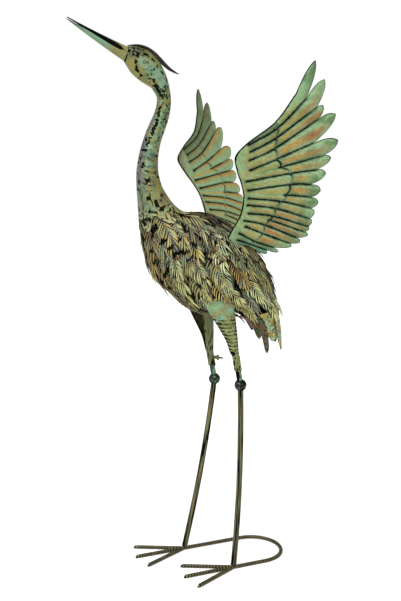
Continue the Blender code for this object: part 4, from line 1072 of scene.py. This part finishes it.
def buildTail():
    tones = tonesOf(tail)
    blades = [("centre_tail_blade", "tail_feather_centre", 1, tail["centre"])]
    for side, word in sides:
        blades += [(f"{word}_tail_blade_{n}", f"{word}_tail_feather_{n}", side, spec)
                   for n, spec in enumerate(tail["blades"], 1)]
    for name, node, side, spec in blades:
        degrees, halfDegrees, layer, first = spec[:4]
        last = spec[4] if side < 0 else spec[5]
        lift = tail["skinGap"] + layer * (tail["sheet"] + tail["layerGap"])
        middle, half = math.radians(degrees), math.radians(halfDegrees)
        rows, columns = tail["mesh"]
        shares, across = np.linspace(0, 1, rows), np.linspace(-1, 1, columns)
        seed = degrees + side
        grid = []
        for share in shares:
            width = half * max(0.12, math.sqrt(max(0, 1 - share ** 11)))
            nick = 1 - 0.1 * blot(np.array([[share * 30, seed, 0], [share * 30, seed, 5]]), 1.0, 1)
            v = across * np.interp(across, [-1, 1], nick)
            rib = 0.7 * hump(across, 0.12) - 0.5 * across ** 2
            grid.append(bodySkin(first + (last - first) * share, -side * (middle + width * v),
                                 lift + tail["sheet"] + rib * (1 - share ** 3)))
        points = np.array(grid).reshape(-1, 3)
        share, v = np.repeat(shares, columns), np.tile(across, rows)
        paint = blend(tones[spec[6]], tones[spec[7]], patchy(points, 16, seed, 0.4, 0.62))
        barbs = 0.5 + 0.5 * np.sin(share * 135 - np.abs(v) * 9 + 3 * blot(points, 9, seed + 3))
        barbs = 1 - (1 - barbs) * patchy(points, 8, seed + 5, 0.38, 0.6)
        paint = paint * (0.7 + 0.4 * barbs)[:, None]
        ink = 0.62 * (1 - easing(barbs, 0.1, 0.6)) + 0.5 * patchy(points, 3.4, seed, 0.58, 0.75)
        ink = ink + 0.5 * easing(np.abs(v), 0.84, 1)
        outward = (0.5 + 0.2 * (degrees < 100), 0.8 * side * (degrees > 5), 0.2)
        blade = addPiece(name, points, gridFaces(rows, columns), [tailPaint, tailInnerPaint], paint, ink,
                         "tail_sheet", [node], facing=outward)
        thicken(blade, tail["sheet"])
    print("tail blades:", len(blades))


# brushed along the pressed barbs and spattered with black
tailPaint = paintedSheet("tail blade sheet, gold and rust speckled black", {
    "patch": 12.0, "bloom": 0.1, "grain": 2.0, "stipple": 0.35, "speck": 3.4, "speckFrom": 0.58,
    "speckDepth": 0.9})
# left in brown primer, which shows only from below
tailInnerPaint = paintedSheet("tail blade sheet from inside, dark brown", {
    "patch": 12.0, "bloom": 0.85, "bloomTone": "#3E220F", "grain": 3.0, "speckFrom": 0.62,
    "inkTone": "#1A0F08"})
buildTail()


# Thighs: one tapered sheet each, wrapped from the front round the outside, with a sleeve below
def buildThigh(side, word):
    tones = tonesOf(thigh)
    levels, around = thigh["mesh"]
    rows = spline(thighStations(side), np.linspace(0, 7, levels))
    shares = np.linspace(0, 1, around)
    grid = []
    for x, y, z, depth, width, wrap in rows:
        t = np.radians(wrap) * shares
        grid.append(np.stack([x - depth * np.cos(t), y + side * width * np.sin(t), z + 0 * t], -1))
    points = np.array(grid).reshape(-1, 3)
    x, y, z = points.T
    angle = np.tile(shares, levels)
    wrap = np.repeat(np.radians(rows[:, 5]), around) * angle
    slant = z - 0.75 * (x + 5) - thigh["bandAt"]
    paint = coats(blend(tones["olive"], tones["khaki"], patchy(points, 14, 2, 0.35, 0.7)), tones, [
        ("green", easing(z, 528, 548) * 0.9),
        ("band", 0.85 * patchy(points, 6, 31, 0.3, 0.5) * hump(slant, 5) * (x > -26)),
        ("gold", 0.8 * hump(np.hypot(x - 16, z - 556), 5.0, 1)),
        ("turquoise", 0.8 * hump(slant + 13, 6.0) * patchy(points, 8, 6, 0.3, 0.5)),
        ("turquoise", 0.5 * easing(z, 534, 548) * patchy(points, 5, 41, 0.48, 0.62))])
    # bars right across, thin in the middle and heavy at both edges
    phase = (z / thigh["barStep"] + 0.3 * np.sin(wrap) + 0.25 * blot(points, 12, 4)) % 1.0
    edge = np.clip(hump(wrap - 0.35, 0.5) + hump(wrap - 2.75, 0.55), 0, 1)
    heavy = 0.55 + 1.5 * edge + 1.2 * (blot(points, 3, 11) - 0.5)
    bars = 1 - easing(np.abs(phase - 0.5) * thigh["barStep"] - heavy, -0.5, 1.0)
    low, high = thigh["barTo"], thigh["barFrom"]
    barred = easing(z, low - 6, low) * (1 - easing(z, high - 6, high))
    ink = bars * barred * (0.8 + 0.2 * edge) * patchy(points, 8, 33, 0.16, 0.3)
    ink = np.maximum(ink, 0.62 * patchy(points, 2.8, 15, 0.56, 0.7) * (1 - 0.5 * easing(z, 530, 545)))
    paint = paint * (0.72 + 0.4 * blot(points, 9, 23))[:, None]
    # the far thigh is painted darker as painted shade, on the side of the bird away from the light
    if side > 0:
        paint = blend(paint, tones["farThighShade"], 0.8)
        ink = np.maximum(0.4 * ink, 0.55 * patchy(points * np.array([1, 1, 0.15]), 3.5, 19, 0.52, 0.7))
    ink = np.max([ink, 0.75 * patchy(points * np.array([1, 1, 0.2]), 4, 5, 0.5, 0.66) * (z < 452),
                  (1 - easing(np.hypot(x - 26, z - 456), 4, 7)) * (np.sin(wrap) > 0.2),
                  0.55 * (1 - easing(angle, 0.0, 0.03))], 0)
    sheet = addPiece(word + "_thigh_sheet", points, gridFaces(levels, around),
                     [thighPaint, thighInnerPaint], paint, ink, "thigh_sheet", [word + "_thigh"], sharp=60)
    centre = Vector(((rows[levels // 2, 0:3] + shift) * mm))
    inward = sum((f.center - centre).dot(f.normal) * f.area for f in sheet.data.polygons)
    if inward < 0:
        sheet.data.flip_normals()
    thicken(sheet, thigh["sheet"])


# bars brushed straight across the folded sheet, heavier where it turns away
thighPaint = paintedSheet("folded thigh sheet, green and olive with black bars", {
    "patch": 16.0, "bloom": 0.15, "grain": 2.2, "stipple": 0.3, "speckFrom": 0.69, "ragged": 0.6})
# inside the fold the brown primer shows in patches
thighInnerPaint = paintedSheet("thigh sheet from inside, dark brown", {
    "patch": 16.0, "bloom": 0.95, "bloomTone": "#4A2812", "grain": 3.0, "inkTone": "#1A0F08"})
for side, word in sides:
    buildThigh(side, word)
print("thighs ready")


# Legs, knees and screws: bronzed steel tube and rod, darker in the streaks of the brush
def rodSkin(path, radii, around):
    # rings of a rod along a path, with the length and turn of every point
    radii = np.broadcast_to(radii, (len(path), around))[..., None]
    runs = unit(np.gradient(path, axis=0))
    lift = np.array([0, 0, 1.0]) if abs(runs[0][2]) < 0.7 else np.array([1.0, 0, 0])
    across = unit(np.cross(runs, lift))
    rings = path[:, None] + radii * ovals(0 * path, across, np.cross(across, runs), around)
    points, faces = ringSkin(rings, path[0], path[-1])
    lengths = lengthsAlong(path)
    along = np.append(np.repeat(lengths, around), [0, lengths[-1]])
    angle = np.append(np.tile(circle(around), len(path)), [0, 0])
    return points, faces, along, angle


def streaked(along, angle, seed):
    # long thin streaks that run with the rod
    spots = np.stack([along / 120, 1.9 * np.cos(angle), 1.9 * np.sin(angle)], -1)
    return blot(spots, 0.55, seed)


def buildLegs(side, word):
    tones, near = tonesOf(leg), side < 0
    knee, foot = kneePoint(side), footPoint(side)
    shares = np.linspace(0, 1, leg["rings"][0])[:, None]
    path = knee + (foot - knee) * shares + np.array([leg["bow"] * 4, 0, 0]) * shares * (1 - shares)
    path = path[(path[:, 2] > leg["toeRod"] + leg["gap"]) & (path[:, 2] < knee[2] - 8)]
    points, faces, along, angle = rodSkin(path, leg["tube"] / 2, leg["around"])
    lines = streaked(along, angle, 3 + side)
    paint = coats(tones["bronze"], tones, [("streak", 0.9 * easing(lines, 0.46, 0.72)),
                                           ("verdigris", 0.1 * patchy(points, 26, 6, 0.5, 0.7))])
    addPiece(word + "_leg", points, faces, [rodPaint], paint, 0.9 * (1 - easing(lines, 0.36, 0.52)),
             "leg_rod", [word + "_leg_tube"], sharp=60)
    top = rodPoint(side, leg["rodReach"])
    path = knee + (top - knee) * np.linspace(0.16, 1, leg["rings"][1])[:, None]
    points, faces, along, angle = rodSkin(path, leg["tube"] / 2, leg["around"])
    bronzed = (0.95 if near else 0.4) * patchy(points, 9, 5, 0.3, 0.55)
    addPiece(word + "_knee_rod", points, faces, [rodPaint],
             blend(tones["verdigris"], tones["bronze"], bronzed),
             (0.9 if near else 0.55) * easing(streaked(along, angle, 8), 0.4, 0.6),
             "leg_rod", [word + "_upper_rod"], sharp=60)
    # the knee ball, a little dented
    rings, around = ball["mesh"]
    leans = np.linspace(0, math.pi, rings)[1:-1, None]
    x, y, z = np.eye(3)
    points, faces = ringSkin(ovals(np.cos(leans) * z, np.sin(leans) * x, np.sin(leans) * y, around), z, -z)
    dents = 1 - 0.03 * patchy(points, 0.5, 4 + side, 0.55, 0.8)
    points = knee + points * leg["ball"] / 2 * dents[:, None]
    tones = tonesOf(ball)
    paint = blend(tones["dark"], tones["green"], (0.3 if near else 0.8) * patchy(points, 6, 9, 0.45, 0.7))
    ink = (0.8 if near else 0.6) * patchy(points, 5, 13, 0.36 if near else 0.44, 0.58)
    addPiece(word + "_knee", points, faces, [ballPaint], paint, ink, "knee_ball",
             [word + "_knee_ball"], sharp=80)


ball = {"mesh": (22, 32), "dark": "#0F1411", "green": "#4C6E54"}
screw = {"place": 0.64, "turn": 57.0, "length": 23.0, "shank": 2.5, "wing": 6.0, "stub": 1.8, "pitch": 0.9,
         "around": 24, "bronze": "#6E6A40", "dark": "#181810"}


def buildScrew(side, word):
    turn = math.radians(screw["turn"])
    direction = np.array([math.cos(turn), -side * math.sin(turn), 0])
    across = np.array([-direction[1], direction[0], 0])
    middle = rodPoint(side, thigh["sleeve"][0] + 30.0 * screw["place"])
    start = middle + direction * (thigh["sleeveRadius"] + 0.3)
    shank, plate, stub = screw["shank"], screw["wing"], screw["stub"]
    shares = [0, 0.1, 0.12, 0.14, 0.3, 0.33, 0.36, 0.4, 0.5, 0.55, 0.58, 0.6]
    flats = [shank, shank, 1.4 * shank, 1.5 * shank, 1.5 * shank, 1.3 * shank, 0.75 * shank, 0.6 * shank,
             0.55 * shank, 0.55 * shank, stub, stub]
    talls = [shank, shank, 1.4 * shank, 1.5 * shank, 1.5 * shank, 0.7 * plate, 0.92 * plate, plate, plate,
             0.9 * plate, 1.2 * stub, stub]
    thread = np.arange(0.62, 1.0, screw["pitch"] / screw["length"] / 4)
    shares = np.array(shares + list(thread))
    cut = stub * (1 - 0.12 * (1 - np.cos(np.arange(len(thread)) * math.pi / 2)))
    flats, talls = np.append(flats, cut), np.append(talls, cut)
    middles = start + direction * screw["length"] * shares[:, None]
    rings = ovals(middles, across * flats[:, None], np.array([0, 0, 1]) * talls[:, None], screw["around"])
    points, faces = ringSkin(rings, start, start + direction * screw["length"])
    isThread = np.append(np.repeat(shares, screw["around"]), [0, 1]) > 0.6
    paint = np.where(isThread[:, None], tone(screw["dark"]), tone(screw["bronze"]))
    addPiece(word + "_thumb_screw", points, faces, [screwPaint], paint,
             0.5 * patchy(points, 3, 2, 0.5, 0.8), "clamp_screw", [word + "_clamp_screw"], sharp=45)


# Toes and ground loop: ribbed rod, paler on the tops of the ribs
rib = {"pitch": 6.4, "height": 0.45, "slant": 0.16, "core": 0.93, "around": 14, "toeRings": 120,
       "loopRings": (100, 150, 160),
       "bronze": "#1A180E", "ribTop": "#B8AE74"}


def buildRibbed(name, node, path, radius, taper=None):
    lengths = lengthsAlong(path)
    lag = rib["slant"] * radius * 4 * np.abs(np.sin(circle(rib["around"])))
    bump = hump((lengths[:, None] + lag[None]) / rib["pitch"] % 1 - 0.5, 0.2)
    core = rib["core"] * radius - rib["height"] * 0.3
    radii = core + (radius - core) * bump
    if taper is not None:
        radii = radii * taper[:, None]
    points, faces = rodSkin(path, radii, rib["around"])[:2]
    ribTop = np.append(bump.ravel(), [0, 0])
    patch = blot(points, 14, 3)
    paint = blend(tone(rib["bronze"]), tone(rib["ribTop"]), np.clip(ribTop ** 2 * (0.2 + 0.9 * patch), 0, 1))
    addPiece(name, points, faces, [ribPaint], paint, 0.7 * (1 - ribTop) * easing(patch, 0.1, 0.4),
             "ribbed_rod", [node], sharp=80)


def buildFeet():
    radius = leg["toeRod"] / 2
    for side, word in sides:
        foot = footPoint(side) + np.array([0, 0, radius])
        for place, degrees in (("outer", leg["toeSpread"]), ("middle", 0), ("inner", -leg["toeSpread"])):
            turn = math.radians(degrees * side)
            direction = np.array([-math.cos(turn), math.sin(turn), 0])
            back = leg["tube"] / 2 if degrees == 0 else -radius - 1.0
            steps = np.linspace(-back, leg["toeLength"], rib["toeRings"])
            path = foot + direction * steps[:, None]
            taper = 1 - 0.4 * easing(steps, leg["toeLength"] - 1.5 * radius, leg["toeLength"])
            path[:, 2] -= radius * (1 - taper)
            buildRibbed(f"{word}_{place}_toe_rod", f"{word}_{place}_toe", path, radius, taper)
    bend = leg["stance"] / 2
    rear = leg["loopLength"] - bend
    left, right, radius = footPoint(-1), footPoint(1), leg["loopRod"] / 2
    behind = leg["tube"] / 2 + leg["gap"]
    straight, bent, fore = rib["loopRings"]
    turns = np.linspace(-math.pi / 2, math.pi / 2, bent)
    arc = np.stack([rear + bend * np.cos(turns), bend * np.sin(turns)], -1)
    leftRun = np.linspace([left[0] + behind, left[1]], arc[0], straight, endpoint=False)
    rightRun = np.linspace(arc[-1], [right[0] + behind, right[1]], fore)[1:]
    flat = np.vstack([leftRun, arc, rightRun])
    path = np.column_stack([flat, np.full(len(flat), radius)])
    buildRibbed("ground_loop_rod", "stand_loop", path, radius)
    print("feet and loop ready")


# drawn smooth and bronzed, the brush leaves long dark streaks and a low gloss
rodPaint = paintedSheet("drawn steel rod, bronzed and streaked", {
    "patch": 20.0, "bloom": 0.0, "grain": 1.6, "stipple": 0.3, "speckFrom": 0.72,
    "rough": (0.35, 0.55), "metal": 0.4, "ragged": 0.5, "inkTone": "#0C0B07"})
# turned and lacquered, the glossiest metal on the bird
ballPaint = paintedSheet("turned steel ball, dark green lacquer", {
    "patch": 9.0, "bloom": 0.15, "grain": 2.0, "stipple": 0.25, "speckFrom": 0.75,
    "rough": (0.22, 0.4), "metal": 0.45})
# cast and bronzed, grainy from the mould
screwPaint = paintedSheet("cast thumb screw, bronzed", {
    "patch": 6.0, "bloom": 0.0, "grain": 1.2, "stipple": 0.35, "rough": (0.3, 0.5), "metal": 0.6})
# rolled ribs, dark in the hollows and paler on top
ribPaint = paintedSheet("ribbed steel rod, dark with paler rib tops", {
    "patch": 12.0, "bloom": 0.0, "grain": 1.2, "stipple": 0.35, "speckFrom": 0.7,
    "rough": (0.35, 0.6), "metal": 0.4, "ragged": 0.6, "inkTone": "#0C0B07"})
for side, word in sides:
    buildLegs(side, word)
    buildScrew(side, word)
buildFeet()
